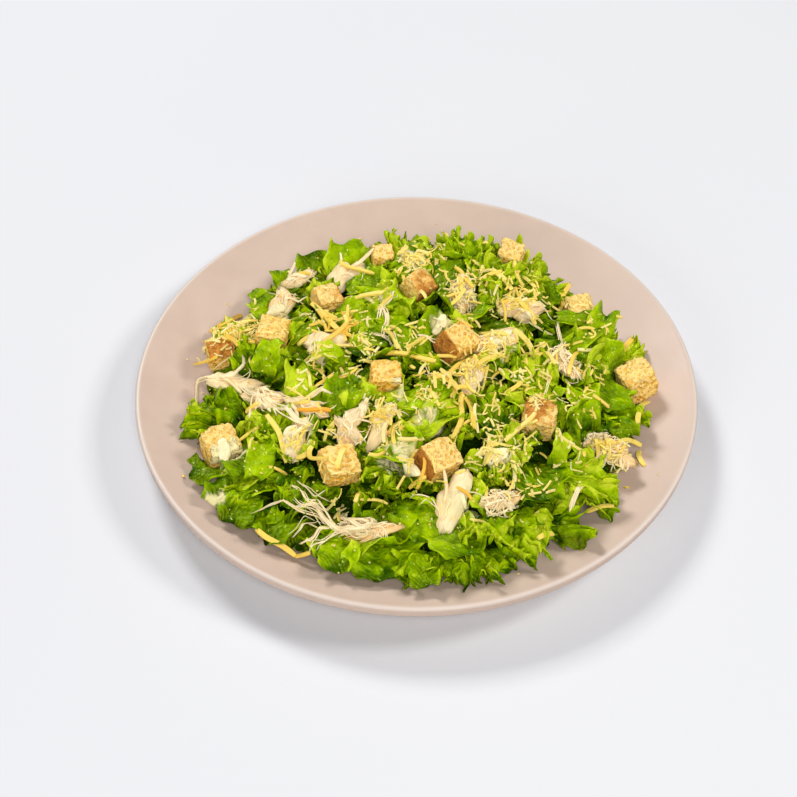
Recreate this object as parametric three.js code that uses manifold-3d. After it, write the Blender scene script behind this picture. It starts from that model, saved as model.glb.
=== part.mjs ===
// Chicken caesar salad on a round coupe plate: torn lettuce heaped on the plate, with croutons, pulled chicken
// and grated cheese on top. Millimetres, +Z up. The origin is the centre of the plate's foot, on the table.
import * as THREE from "three";
import { mergeVertices } from "three/addons/utils/BufferGeometryUtils.js";
import Module from "manifold-3d";

const wasm = await Module();
wasm.setup();

// ---- Driving dimensions -------------------------------------------------------------------------------------

const GAP = 0.35; // air kept between neighbouring pieces
const TOUCH = 0.01; // volume, in cubic mm, under which two solids count as clear of each other

const PLATE = {
  radius: 135,
  rimTop: 23,
  rimHeight: 5.5, // height of the outer wall of the rim
  rimWidth: 5, // the eating surface ends this far inside the rim's outer edge
  floor: 8, // height of the eating surface in the middle
  flatRadius: 62, // the eating surface is flat inside this, and curves up outside it
  curve: 1.7, // how late the side turns up
  wall: 4.6,
  footRadius: 74,
  footHeight: 3,
  footWidth: 5,
  segments: 44,
};

const HEAP = {
  radius: 101,
  centre: [3, -4.5],
  rise: 29, // height of the middle of the core above the plate
  edge: 4, // thickness of the core at its edge
  flat: 3, // the larger, the flatter its middle
  steep: 0.65, // the smaller, the steeper its edge
  lobes: [
    [5, 2.5, 1.0], // waves round the outline: count, depth, phase
    [9, 1.5, 0.0],
  ],
  mounds: [
    [46, 74, 38, 8], // where more was heaped: x, y, reach, height
    [-16, 80, 32, 5],
    [62, -48, 34, 3],
    [-30, -60, 30, 2],
  ],
  spokes: 32,
  under: [0.58, 0.8, 1], // rings of the core, as shares of its radius
  over: [1, 0.95, 0.84, 0.68, 0.48, 0.25],
  bump: 2.4, // how far the surface of the core is uneven, from lowest to highest
  seed: 3,
};

const LEAF = {
  thickness: 1.1,
  rise: 3.2, // height of its middle over the core
  ragged: 0.05, // unevenness of its edge, as a share of its length
  sizes: [1, 0.85, 0.7], // what it may be shrunk to
  slides: [
    [0, 0], // and how far it may be slid, along and across, in mm
    [4, 0],
    [-4, 0],
    [0, 5],
    [0, -5],
    [7, 4],
    [7, -4],
    [-7, 4],
    [-7, -4],
    [0, 9],
    [0, -9],
  ],
};

// Rise, wear, skew and unevenness are shares of the size.
const CROUTON = { rise: 0.26, worn: 0.25, skew: 0.16, uneven: 0.06, seed: 21 };
const CHICKEN = { rise: 2.2, uneven: 0.24, stations: 4, sides: 6, seed: 33 };
// The steps are the shares of a turn, and of the way out, from one shred to the next.
const SHRED = { width: 2.3, thickness: 1.6, count: 14, stepRound: 0.7549, stepOut: 0.5698, seed: 45 };

// What shows on the heap, at the place of its middle: x, y, then the way that it points, in degrees round from
// +X, and its lift above the level. Leaves and chicken then give their length and width.
const CURLY_LEAVES = [
  [-38, 88, 95, 42, 28, 26],
  [-11, 95, 100, 48, 25, 20],
  [24, 86, 85, 30, 34, 40],
  [54, 88, 75, 46, 26, 18],
  [68, 74, 40, 22, 26, 30],
  [54, 50, 60, 25, 28, 26],
  [105, 20, 15, 25, 24, 26],
  [63, -60, 20, 22, 36, 36],
  [80, -70, -35, 14, 32, 34],
  [72, -94, -30, 6, 28, 18],
  [43, -99, -50, 22, 30, 32],
  [25, -107, -85, 12, 26, 36],
  [-78, -80, -135, 12, 30, 36],
  [-93, -22, 165, 24, 32, 38],
  [-80, 38, 140, 26, 24, 24],
  [36, -46, 100, 25, 32, 26],
  [44, -14, -20, 32, 28, 28],
  [-32, -86, -110, 16, 28, 26],
  [24, -97, 45, 26, 24, 26],
  [2, -22, 10, 20, 26, 20],
  [-42, -38, 120, 28, 24, 22],
  [66, 22, 70, 30, 28, 26],
  [84, 62, 35, 8, 28, 28],
  [-70, 68, 130, 8, 26, 26],
];
const FLAT_LEAVES = [
  [-56, 82, 100, 44, 24, 21],
  [8, 90, 70, 30, 24, 22],
  [40, 68, 70, 22, 28, 22],
  [92, 36, 35, 26, 38, 20],
  [88, -20, -80, 4, 30, 24],
  [98, -28, -45, 8, 28, 20],
  [77, -28, -120, 14, 26, 22],
  [50, -76, -60, 18, 32, 24],
  [-12, -102, -80, 2, 28, 42],
  [2, -86, 60, 32, 26, 20],
  [-36, -105, -95, 2, 24, 18],
  [-55, -90, -130, 12, 36, 28],
  [-91, -62, -160, 8, 28, 24],
  [-72, -58, -90, 4, 30, 13],
  [-62, -8, 80, 26, 30, 13],
  [-80, 4, 60, 36, 22, 20],
  [20, 20, 160, 20, 30, 18],
  [-14, 30, 100, 24, 26, 22],
  [-30, -8, -30, 22, 26, 22],
  [-86, 28, 170, 20, 22, 18],
  [-28, 20, 40, 22, 28, 20],
  [28, 60, 20, 20, 26, 20],
  [22, -42, 140, 24, 30, 20],
  [-24, 101, 100, 6, 22, 30],
  [20, 102, 80, 6, 22, 34],
];

// Croutons: x, y, turn about the upright, tip onto an edge, size.
const CROUTONS = [
  [-17, 72, 6, 6, 11],
  [-44, 41, 28, 14, 13],
  [1, 48, 40, 22, 13],
  [48, 72, -18, 12, 12],
  [81, 43, 16, 10, 12.5],
  [106, -2, 24, -12, 16],
  [-70, 18, -12, 8, 14.5],
  [-95, 14, 16, 6, 13],
  [19, 7, 38, 20, 15],
  [-15, -16, 4, 5, 13.5],
  [-91, -44, 28, 12, 16],
  [-35, -67, 24, 18, 16],
  [9, -64, 34, 16, 15.5],
  [56, -40, -12, 10, 14.5],
];

// Pulled chicken: x, y, heading, lift, length, width, thickness.
const CHICKEN_PIECES = [
  [-37, 64, 35, 12, 26, 12, 7],
  [-45, 8, 50, 10, 25, 14, 8],
  [-87, -7, 160, 8, 30, 12, 6],
  [-72, -21, -20, 10, 22, 12, 7],
  [-52, -30, -25, 6, 24, 9, 6],
  [-56, -48, 75, 12, 20, 12, 8],
  [-31, -47, 70, 26, 26, 11, 7],
  [-17, -45, 58, 30, 26, 10, 6],
  [15, -84, 64, 22, 32, 13, 6],
  [37, -83, 20, 6, 20, 14, 8],
  [89, -48, -35, 4, 27, 20, 9],
  [50, 37, -15, 8, 24, 13, 8],
  [38, 12, 25, 8, 22, 14, 8],
  [23, 42, 95, 20, 24, 12, 6],
  [-66, 43, 60, 8, 18, 12, 8],
  [-20, -95, -12, 10, 34, 9, 5],
  [71, -1, -60, 8, 26, 13, 7],
  [26, -15, 80, 10, 20, 12, 7],
  [-60, 64, 20, 6, 18, 9, 6],
];

// ---- Plain helpers ------------------------------------------------------------------------------------------

const radians = THREE.MathUtils.degToRad;

// A seeded source of even numbers from 0 to 1.
function randomFrom(seed) {
  let state = seed >>> 0;
  return () => {
    state = (state + 0x6d2b79f5) >>> 0;
    let t = state;
    t = Math.imul(t ^ (t >>> 15), t | 1);
    t ^= t + Math.imul(t ^ (t >>> 7), t | 61);
    return ((t ^ (t >>> 14)) >>> 0) / 4294967296;
  };
}

// A geometry of shared points alone, with no normals or texture places.
function sharedPoints(geometry) {
  const bare = geometry.clone();
  for (const name of Object.keys(bare.attributes)) if (name !== "position") bare.deleteAttribute(name);
  return mergeVertices(bare, 1e-4);
}

// A three.js geometry as a manifold-3d solid, whichever way round its faces are.
function solidOf(geometry) {
  const shared = sharedPoints(geometry);
  const vertProperties = new Float32Array(shared.attributes.position.array);
  const build = (triVerts) => new wasm.Manifold(new wasm.Mesh({ numProp: 3, vertProperties, triVerts }));
  const faces = new Uint32Array(shared.index.array);
  const solid = build(faces);
  if (solid.volume() > 0) return solid;
  for (let i = 0; i < faces.length; i += 3) [faces[i + 1], faces[i + 2]] = [faces[i + 2], faces[i + 1]];
  return build(faces);
}

function geometryFromSolid(solid) {
  const mesh = solid.getMesh();
  return new THREE.BufferGeometry()
    .setAttribute("position", new THREE.BufferAttribute(new Float32Array(mesh.vertProperties), 3))
    .setIndex(new THREE.BufferAttribute(new Uint32Array(mesh.triVerts), 1));
}

// The largest piece of a solid: what is loose is dropped.
function largest(solid) {
  return solid.decompose().reduce((a, b) => (b.volume() > a.volume() ? b : a));
}

function isClear(solid, room) {
  return solid.intersect(room).volume() < TOUCH;
}

// A closed skin over rings of points, with a fan over the first ring and one over the last.
function loft(rings) {
  const sides = rings[0].length;
  const points = rings.flat();
  const triangles = [];
  for (let j = 0; j + 1 < rings.length; j++)
    for (let i = 0; i < sides; i++) {
      const a = j * sides + i;
      const b = j * sides + ((i + 1) % sides);
      triangles.push(a, b, a + sides, b, b + sides, a + sides);
    }
  const fan = (ring, start, turned) => {
    const middle = ring.reduce((sum, p) => sum.add(p), new THREE.Vector3()).divideScalar(sides);
    const top = points.push(middle) - 1;
    for (let i = 0; i < sides; i++) {
      const pair = [start + i, start + ((i + 1) % sides)];
      triangles.push(top, ...(turned ? pair.reverse() : pair));
    }
  };
  fan(rings[0], 0, true);
  fan(rings.at(-1), (rings.length - 1) * sides, false);
  return new THREE.BufferGeometry().setFromPoints(points).setIndex(triangles);
}

// Turns and places what was made along +X with its middle at the origin.
function placing(x, y, z, heading, lift) {
  return new THREE.Matrix4()
    .makeTranslation(x, y, z)
    .multiply(new THREE.Matrix4().makeRotationZ(radians(heading)))
    .multiply(new THREE.Matrix4().makeRotationY(radians(-lift)));
}

// ---- The plate ----------------------------------------------------------------------------------------------

// Height of the eating surface at a distance from the middle.
function plateTop(distance) {
  const { floor, rimTop, radius, rimWidth, flatRadius, curve } = PLATE;
  const out = Math.max(0, distance - flatRadius) / (radius - rimWidth - flatRadius);
  return floor + (rimTop - 1 - floor) * out ** curve;
}

function plateGeometry() {
  const { radius, rimTop, rimHeight, wall, footRadius, footHeight, footWidth, flatRadius } = PLATE;
  const at = (r, z) => new THREE.Vector2(r, z);
  const foot = [
    at(0, footHeight),
    at(footRadius - footWidth - 1, footHeight),
    at(footRadius - footWidth, 0),
    at(footRadius - 1, 0),
    at(footRadius + 0.5, footHeight),
  ];
  const underside = [90, 106, 122].map((r) => at(r, plateTop(r) - wall));
  // The outer wall of the rim is slightly hollow between two round edges.
  const rim = [
    at(radius - 1.6, rimTop - rimHeight),
    at(radius - 0.2, rimTop - rimHeight * 0.8),
    at(radius - 0.5, rimTop - rimHeight * 0.5),
    at(radius, rimTop - rimHeight * 0.25),
    at(radius - 1.3, rimTop),
    at(radius - 3.4, rimTop - 0.3),
  ];
  const eating = [120, 107, 93, 78, flatRadius].map((r) => at(r, plateTop(r)));
  const profile = [...foot, ...underside, ...rim, ...eating, at(0, PLATE.floor)];
  return new THREE.LatheGeometry(profile, PLATE.segments).rotateX(Math.PI / 2);
}

// ---- The core of the heap -----------------------------------------------------------------------------------

// The outline of the core round its own centre.
function heapRadius(angle) {
  return HEAP.lobes.reduce((r, [count, depth, phase]) => r + depth * Math.sin(count * angle + phase), HEAP.radius);
}

// Height of the bare core above the table.
function heapTop(x, y) {
  const dx = x - HEAP.centre[0];
  const dy = y - HEAP.centre[1];
  const share = Math.min(1, Math.hypot(dx, dy) / heapRadius(Math.atan2(dy, dx)));
  const dome = HEAP.rise * (1 - share ** HEAP.flat) ** HEAP.steep + HEAP.edge * share ** 3;
  const mounds = HEAP.mounds.map(([mx, my, reach, height]) => {
    const left = 1 - ((x - mx) ** 2 + (y - my) ** 2) / reach ** 2;
    return height * Math.max(0, left) ** 2;
  });
  return plateTop(Math.hypot(x, y)) + mounds.reduce((sum, height) => sum + height, dome);
}

function coreGeometry() {
  const random = randomFrom(HEAP.seed);
  const ring = (share, height) =>
    Array.from({ length: HEAP.spokes }, (_, i) => {
      const angle = (2 * Math.PI * i) / HEAP.spokes;
      const r = share * heapRadius(angle);
      const x = HEAP.centre[0] + r * Math.cos(angle);
      const y = HEAP.centre[1] + r * Math.sin(angle);
      return new THREE.Vector3(x, y, height(x, y));
    });
  const bottom = (x, y) => plateTop(Math.hypot(x, y)) + 1.3 * GAP;
  const top = (x, y) => heapTop(x, y) + HEAP.bump * (random() - 0.5);
  return loft([...HEAP.under.map((share) => ring(share, bottom)), ...HEAP.over.map((share) => ring(share, top))]);
}

// ---- Leaves -------------------------------------------------------------------------------------------------

// A closed thin solid round a grid of points: both faces are split into triangles alike.
function slab(grid, thickness) {
  const rows = grid.length;
  const columns = grid[0].length;
  const points = [];
  for (const side of [1, -1])
    grid.forEach((row, j) =>
      row.forEach((p, i) => {
        const along = grid[Math.min(j + 1, rows - 1)][i].clone().sub(grid[Math.max(j - 1, 0)][i]);
        const across = row[Math.min(i + 1, columns - 1)].clone().sub(row[Math.max(i - 1, 0)]);
        const normal = along.cross(across).normalize();
        points.push(p.clone().addScaledVector(normal, (side * thickness) / 2));
      }),
    );
  const under = rows * columns;
  const triangles = [];
  for (let j = 0; j + 1 < rows; j++)
    for (let i = 0; i + 1 < columns; i++) {
      const a = j * columns + i;
      const [b, c, d] = [a + 1, a + columns, a + columns + 1];
      triangles.push(a, b, c, b, d, c);
      triangles.push(a + under, c + under, b + under, b + under, c + under, d + under);
    }
  const wall = (a, b) => triangles.push(a, a + under, b, b, a + under, b + under);
  for (let i = 0; i + 1 < columns; i++) {
    wall(i, i + 1);
    wall((rows - 1) * columns + i + 1, (rows - 1) * columns + i);
  }
  for (let j = 0; j + 1 < rows; j++) {
    wall((j + 1) * columns, j * columns);
    wall(j * columns + columns - 1, (j + 1) * columns + columns - 1);
  }
  return new THREE.BufferGeometry().setFromPoints(points).setIndex(triangles);
}

// The two kinds of leaf give a point for u across, from -1 to 1, and v along, from 0 to 1.

// A frilled piece of leaf lettuce: a fan of 120 degrees whose outer edge is ruffled.
const CURLY = {
  columns: 6,
  rows: 2,
  point(u, v, length, width, phases) {
    const angle = u * radians(60);
    const reach = length * (0.2 + 0.8 * v) * (1 + 0.08 * v * Math.sin(5 * u + phases[0]));
    const ruffle = 0.13 * length * v ** 1.6 * Math.sin(2 * Math.PI * u + phases[1]);
    const droop = 0.1 * length * (u * u * v - v * v);
    return new THREE.Vector3(
      reach * Math.cos(angle) - 0.5 * length,
      (reach * Math.sin(angle) * width) / (1.7 * length),
      ruffle + droop,
    );
  },
};

// A flat torn piece of romaine: cupped across its rib, with slack edges.
const FLAT = {
  columns: 3,
  rows: 2,
  point(u, v, length, width, phases) {
    const along = 2 * v - 1;
    const half = 0.5 * width * (1 - 0.28 * along * along);
    const slack = 0.07 * length * Math.sin(4.2 * v + phases[0] + (u > 0 ? 1.7 : 0));
    const cup = (0.12 * width + slack) * u * u - 0.06 * length * along * along;
    return new THREE.Vector3(0.5 * length * along, half * u, cup);
  },
};

function leafGeometry([x, y, heading, lift, length, width], kind, seed) {
  const random = randomFrom(seed);
  const place = placing(x, y, heapTop(x, y) + LEAF.rise, heading, lift);
  const phases = [2 * Math.PI * random(), 2 * Math.PI * random()];
  const { columns, rows } = kind;
  const grid = [];
  for (let j = 0; j <= rows; j++) {
    const row = [];
    for (let i = 0; i <= columns; i++) {
      const atEdge = j === rows || i === 0 || i === columns;
      const point = kind.point((2 * i) / columns - 1, j / rows, length, width, phases);
      point.x += atEdge ? LEAF.ragged * length * (random() - 0.5) : 0;
      point.applyMatrix4(place);
      point.z = Math.max(point.z, plateTop(Math.hypot(point.x, point.y)) + GAP + LEAF.thickness);
      row.push(point);
    }
    grid.push(row);
  }
  return slab(grid, LEAF.thickness);
}

// A leaf that would cross a topping is slid along or across, then made smaller, until it lies clear. One that
// still crosses is left out.
function clearLeaf([x, y, heading, lift, length, width], kind, seed, room) {
  const turn = radians(heading);
  for (const size of LEAF.sizes)
    for (const [along, across] of LEAF.slides) {
      const movedX = x + along * Math.cos(turn) - across * Math.sin(turn);
      const movedY = y + along * Math.sin(turn) + across * Math.cos(turn);
      const solid = solidOf(leafGeometry([movedX, movedY, heading, lift, length * size, width * size], kind, seed));
      if (isClear(solid, room)) return [solid];
    }
  return [];
}

// ---- Toppings -----------------------------------------------------------------------------------------------

// Skews a cube that was made at the origin, turns it and sets it on the core or, at the edge, clear of the plate.
function settleCrouton(geometry, [x, y, turn, tip, size], random) {
  const [skewX, skewY, taper] = [random(), random(), random()].map((draw) => CROUTON.skew * (draw - 0.5));
  const position = geometry.getAttribute("position");
  const p = new THREE.Vector3();
  for (let i = 0; i < position.count; i++) {
    p.fromBufferAttribute(position, i);
    const narrower = 1 + (taper * p.z) / size;
    position.setXYZ(i, p.x * narrower + skewX * p.z, p.y * narrower + skewY * p.x, p.z);
  }
  const z = Math.max(heapTop(x, y) + CROUTON.rise * size, plateTop(Math.hypot(x, y)) + 0.62 * size);
  return geometry
    .rotateX(radians(tip))
    .rotateY(radians(tip * 0.6))
    .rotateZ(radians(turn))
    .translate(x, y, z);
}

// A cube with worn corners and uneven faces.
function croutonGeometry(row, random, wearRandom) {
  const size = row[4];
  const cube = sharedPoints(new THREE.BoxGeometry(size, size * 0.95, size * 0.9, 3, 3, 3));
  const position = cube.getAttribute("position");
  const p = new THREE.Vector3();
  for (let i = 0; i < position.count; i++) {
    p.fromBufferAttribute(position, i);
    const round = p.clone().setLength(size * 0.64);
    p.lerp(round, CROUTON.worn).multiplyScalar(1 + CROUTON.uneven * (wearRandom() - 0.5));
    position.setXYZ(i, p.x, p.y, p.z);
  }
  return settleCrouton(cube, row, random);
}

// The plain block of air that a crouton takes up.
function croutonRoom(row, random) {
  const size = row[4] * 1.06 + 2 * GAP;
  return settleCrouton(new THREE.BoxGeometry(size, size * 0.96, size * 0.92), row, random);
}

// A piece of pulled chicken: a bent, uneven bundle, thin at its torn ends. swell widens it all round.
function chickenGeometry([x, y, heading, lift, length, width, thickness], random, swell) {
  const { stations, sides } = CHICKEN;
  const bend = 0.16 * (random() - 0.2);
  const place = placing(x, y, heapTop(x, y) + CHICKEN.rise, heading, lift);
  const rings = [];
  for (let j = 0; j <= stations; j++) {
    const along = (2 * j) / stations - 1;
    const taper = 1 - 0.5 * Math.abs(along) ** 3;
    const ring = [];
    for (let i = 0; i < sides; i++) {
      const angle = (2 * Math.PI * i) / sides;
      const reach = taper * (1 + CHICKEN.uneven * (random() - 0.5));
      const point = new THREE.Vector3(
        along * (length / 2 + swell),
        (reach * width * 0.5 + swell) * Math.cos(angle) + bend * length * (along * along - 0.3),
        (reach * thickness * 0.5 + swell) * Math.sin(angle) - 0.08 * length * along * along,
      ).applyMatrix4(place);
      point.z = Math.max(point.z, plateTop(Math.hypot(point.x, point.y)) + 3 * GAP - swell);
      ring.push(point);
    }
    rings.push(ring);
  }
  return loft(rings);
}

// Every topping with its own solid and the room that it takes up, a little larger.
function toppings() {
  const made = [];
  const add = (name, rows, seed, look, solid, room) =>
    rows.forEach((row, i) => {
      const random = () => randomFrom(seed + 97 * i);
      made.push({
        name: `${name}_${String(i + 1).padStart(2, "0")}`,
        look,
        solid: solidOf(solid(row, random)),
        room: solidOf(room(row, random)),
      });
    });
  add(
    "crouton",
    CROUTONS,
    CROUTON.seed,
    MATERIALS.crouton,
    (row, random) => croutonGeometry(row, random(), random()),
    (row, random) => croutonRoom(row, random()),
  );
  add(
    "chicken",
    CHICKEN_PIECES,
    CHICKEN.seed,
    MATERIALS.chicken,
    (row, random) => chickenGeometry(row, random(), 0),
    (row, random) => chickenGeometry(row, random(), 1.3 * GAP),
  );
  // Where two toppings lie against each other the later one gives way.
  made.forEach((piece, i) => {
    for (const earlier of made.slice(0, i))
      if (!isClear(piece.solid, earlier.room)) piece.solid = largest(piece.solid.subtract(earlier.room));
  });
  return made;
}

// ---- Shreds of cheese ---------------------------------------------------------------------------------------

// The height of a surface over a point, or that of the plate where it has a hole there.
function surfaceOver(geometry) {
  const mesh = new THREE.Mesh(geometry, new THREE.MeshBasicMaterial({ side: THREE.DoubleSide }));
  const ray = new THREE.Raycaster();
  const down = new THREE.Vector3(0, 0, -1);
  return (x, y) => {
    ray.set(new THREE.Vector3(x, y, 200), down);
    const hit = ray.intersectObject(mesh, false)[0];
    return Math.max(hit ? hit.point.z : 0, plateTop(Math.hypot(x, y)) + GAP + SHRED.thickness);
  };
}

// A stick of grated cheese, bent a little, that lies on the highest of what is below it with its ends dipping in.
function shredGeometry(x, y, heading, length, bend, surface) {
  const half = new THREE.Vector3(Math.cos(heading), Math.sin(heading), 0).multiplyScalar(length / 2);
  const below = (share) => surface(x + share * half.x, y + share * half.y);
  const [start, end] = [below(-1), below(1)];
  const middle = Math.max(below(-0.5), below(0), below(0.5), (start + end) / 2) + SHRED.thickness / 2;
  const bow = new THREE.Vector3(-Math.sin(heading), Math.cos(heading), 0).multiplyScalar(0.15 * bend * length);
  const centres = [
    new THREE.Vector3(x, y, start).sub(half),
    new THREE.Vector3(x, y, middle).add(bow),
    new THREE.Vector3(x, y, end).add(half),
  ];
  const rings = centres.map((centre, j) => {
    const turn = heading + bend * (j - 1);
    const side = new THREE.Vector3(-Math.sin(turn), Math.cos(turn), 0).multiplyScalar(SHRED.width / 2);
    const up = new THREE.Vector3(0, 0, SHRED.thickness / 2);
    const corner = (across, upward) => centre.clone().addScaledVector(side, across).addScaledVector(up, upward);
    return [corner(1, 1), corner(-1, 1), corner(-1, -1), corner(1, -1)];
  });
  return loft(rings);
}

// Shreds are spread evenly over the heap, a little more thickly towards its middle, clear of the toppings.
function shredSolids(surface, room) {
  const random = randomFrom(SHRED.seed);
  const shreds = [];
  for (let i = 1; shreds.length < SHRED.count; i++) {
    const angle = 2 * Math.PI * ((i * SHRED.stepRound) % 1);
    const r = 0.9 * HEAP.radius * ((i * SHRED.stepOut) % 1) ** 0.6;
    const x = HEAP.centre[0] + r * Math.cos(angle);
    const y = HEAP.centre[1] + r * Math.sin(angle);
    const heading = Math.PI * random();
    const length = 14 + 14 * random();
    const shred = solidOf(shredGeometry(x, y, heading, length, 1.6 * (random() - 0.5), surface));
    if (isClear(shred, room)) shreds.push(shred);
  }
  return shreds;
}

// ---- Putting it together ------------------------------------------------------------------------------------

const MATERIALS = {
  plate: new THREE.MeshStandardMaterial({ color: 0xe0c5b0, roughness: 0.55, metalness: 0 }),
  greens: new THREE.MeshStandardMaterial({ color: 0x6fa51c, roughness: 0.45, metalness: 0 }),
  crouton: new THREE.MeshStandardMaterial({ color: 0xe6b566, roughness: 0.85, metalness: 0 }),
  chicken: new THREE.MeshStandardMaterial({ color: 0xe9d2ad, roughness: 0.6, metalness: 0 }),
};

// The core, the leaves and the cheese in one solid, with hollows for the toppings.
function heapSolid(onTop) {
  const room = wasm.Manifold.union(onTop.map((piece) => piece.room));
  const leaves = [
    ...CURLY_LEAVES.flatMap((row, i) => clearLeaf(row, CURLY, i, room)),
    ...FLAT_LEAVES.flatMap((row, i) => clearLeaf(row, FLAT, CURLY_LEAVES.length + i, room)),
  ];
  const core = solidOf(coreGeometry()).subtract(room);
  const greens = wasm.Manifold.union([core, ...leaves]);
  return largest(wasm.Manifold.union([greens, ...shredSolids(surfaceOver(geometryFromSolid(greens)), room)]));
}

function meshOf(name, geometry, look) {
  const mesh = new THREE.Mesh(geometry, look);
  mesh.name = name;
  return mesh;
}

const salad = new THREE.Group();
const onTop = toppings();
salad.add(meshOf("plate", plateGeometry(), MATERIALS.plate));
salad.add(meshOf("salad_heap", geometryFromSolid(heapSolid(onTop)), MATERIALS.greens));
for (const { name, solid, look } of onTop) salad.add(meshOf(name, geometryFromSolid(solid), look));

export default salad;
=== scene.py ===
"""Looks of a chicken caesar salad on a round coupe plate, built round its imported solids.

Shapes are worked out in millimetres and made in metres. +Z is up, and the origin is the centre of the
plate's foot.
"""

import itertools
import math

import bpy
import numpy as np
from mathutils import Matrix, Quaternion, Vector
from mathutils.bvhtree import BVHTree


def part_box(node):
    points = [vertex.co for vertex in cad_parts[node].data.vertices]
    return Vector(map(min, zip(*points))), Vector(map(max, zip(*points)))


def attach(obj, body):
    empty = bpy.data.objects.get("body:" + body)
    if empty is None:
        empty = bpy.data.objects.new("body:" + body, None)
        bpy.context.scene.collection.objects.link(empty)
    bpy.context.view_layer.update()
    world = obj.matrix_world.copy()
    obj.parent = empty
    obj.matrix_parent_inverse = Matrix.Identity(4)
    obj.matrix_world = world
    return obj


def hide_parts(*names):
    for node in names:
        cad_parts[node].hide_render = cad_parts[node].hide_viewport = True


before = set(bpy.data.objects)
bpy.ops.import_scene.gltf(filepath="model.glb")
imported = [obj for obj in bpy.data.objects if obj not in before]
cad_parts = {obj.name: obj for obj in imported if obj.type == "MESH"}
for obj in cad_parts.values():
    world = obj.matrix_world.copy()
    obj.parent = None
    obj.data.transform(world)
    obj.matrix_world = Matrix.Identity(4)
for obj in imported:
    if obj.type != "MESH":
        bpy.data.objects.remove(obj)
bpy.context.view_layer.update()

MM = 0.001
MASK = 0xFFFFFFFF
GOLDEN_TURN = math.pi * (3 - math.sqrt(5))  # spreads things evenly round and outwards

# ---- Driving dimensions, in millimetres ----

# The camera, as the photograph was taken. Its frame is square.
CAMERA = {"lens": 72.27, "sensor": 36, "pixels": 797, "elevation": 47.7, "roll": 0.3, "distance": 794.5}
CAMERA_AIM = (-8.5, 8.2, 0)
NEAREST, FARTHEST = 600, 1000  # from the camera to the food

PLATE_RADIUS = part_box("plate")[1].x / MM
RIM_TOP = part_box("plate")[1].z / MM
RIM_HEIGHT = 5.5
RIM_WIDTH = 5
PLATE_FLOOR = 8  # height of the eating surface in the middle
FLAT_RADIUS = 62  # the eating surface is flat inside this, and curves up outside it
PLATE_CURVE = 1.7  # how late the side turns up
PLATE_WALL = 4.6
PLATE_SEGMENTS = 240
FOOT_RADIUS = 74
FOOT_HEIGHT = 3
FOOT_WIDTH = 5

HEAP_RADIUS = 101
HEAP_CENTRE = (3, -4.5)
HEAP_RISE = 29  # height of the middle of the heap above the plate
HEAP_EDGE = 4
HEAP_LOBES = [(5, 2.5, 1.0), (9, 1.5, 0.0)]  # waves round the outline: count, depth and phase
HEAP_MOUNDS = [(46, 74, 38, 8), (-16, 80, 32, 5), (62, -48, 34, 3), (-30, -60, 30, 2)]  # x, y, reach, height
CORE_DEPTH = 8.5  # how far the dark middle lies below the leaves
CORE_SHARE = 0.97  # its radius as a share of the heap's

LEAF_RISE = 3.2  # height of the middle of a leaf over the heap
LEAF_THICKNESS = 0.5
LEAF_GAP = 0.45  # between a leaf and the plate
SMALL_LEAVES = 325
SMALL_LENGTH, SMALL_WIDTH = (11, 22), (9, 20)  # the least and the most
EDGE_LENGTH, EDGE_WIDTH = (17, 23), (19, 27)  # the same for the leaves round the heap's edge
SMALL_FRILL, EDGE_FRILL = 0.75, 0.9  # depth of their frills against a large leaf's

# Leaves that the photograph shows: the pixel of the middle, the way that the leaf points round from +X,
# its lift above the level, length, width, and how light it is.
CURLY_LEAVES = [
    (394, 256, 92, 40, 22, 22, 0.6), (446, 260, 105, 30, 28, 27, 0.45), (470, 252, 75, 26, 27, 28, 0.5),
    (490, 270, 60, 20, 30, 28, 0.6), (526, 275, 30, 25, 24, 22, 0.75), (633, 350, 55, 16, 18, 15, 0.85),
    (536, 374, 90, 22, 30, 28, 0.75), (622, 412, -40, 10, 24, 22, 0.5), (490, 418, 110, 20, 32, 26, 0.3),
    (570, 476, -20, 14, 38, 40, 0.7), (594, 494, -45, 10, 24, 26, 0.65), (561, 527, -12, 5, 30, 18, 0.3),
    (524, 534, -55, 18, 28, 30, 0.62), (484, 524, -95, 28, 28, 28, 0.6),
    (492, 558, -70, 12, 24, 30, 0.45), (460, 563, -85, 12, 23, 30, 0.42),
    (426, 564, -95, 6, 21, 32, 0.45), (255, 502, -140, 16, 30, 32, 0.42),
    (303, 486, -100, 18, 30, 30, 0.25), (214, 422, 182, 18, 28, 36, 0.5),
    (236, 406, 130, 26, 28, 26, 0.3), (246, 364, 120, 28, 26, 26, 0.4), (282, 424, 60, 20, 24, 22, 0.55),
    (370, 312, 20, 22, 26, 24, 0.5), (383, 470, 200, 25, 22, 24, 0.55), (512, 448, 30, 24, 24, 22, 0.65),
]
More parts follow.
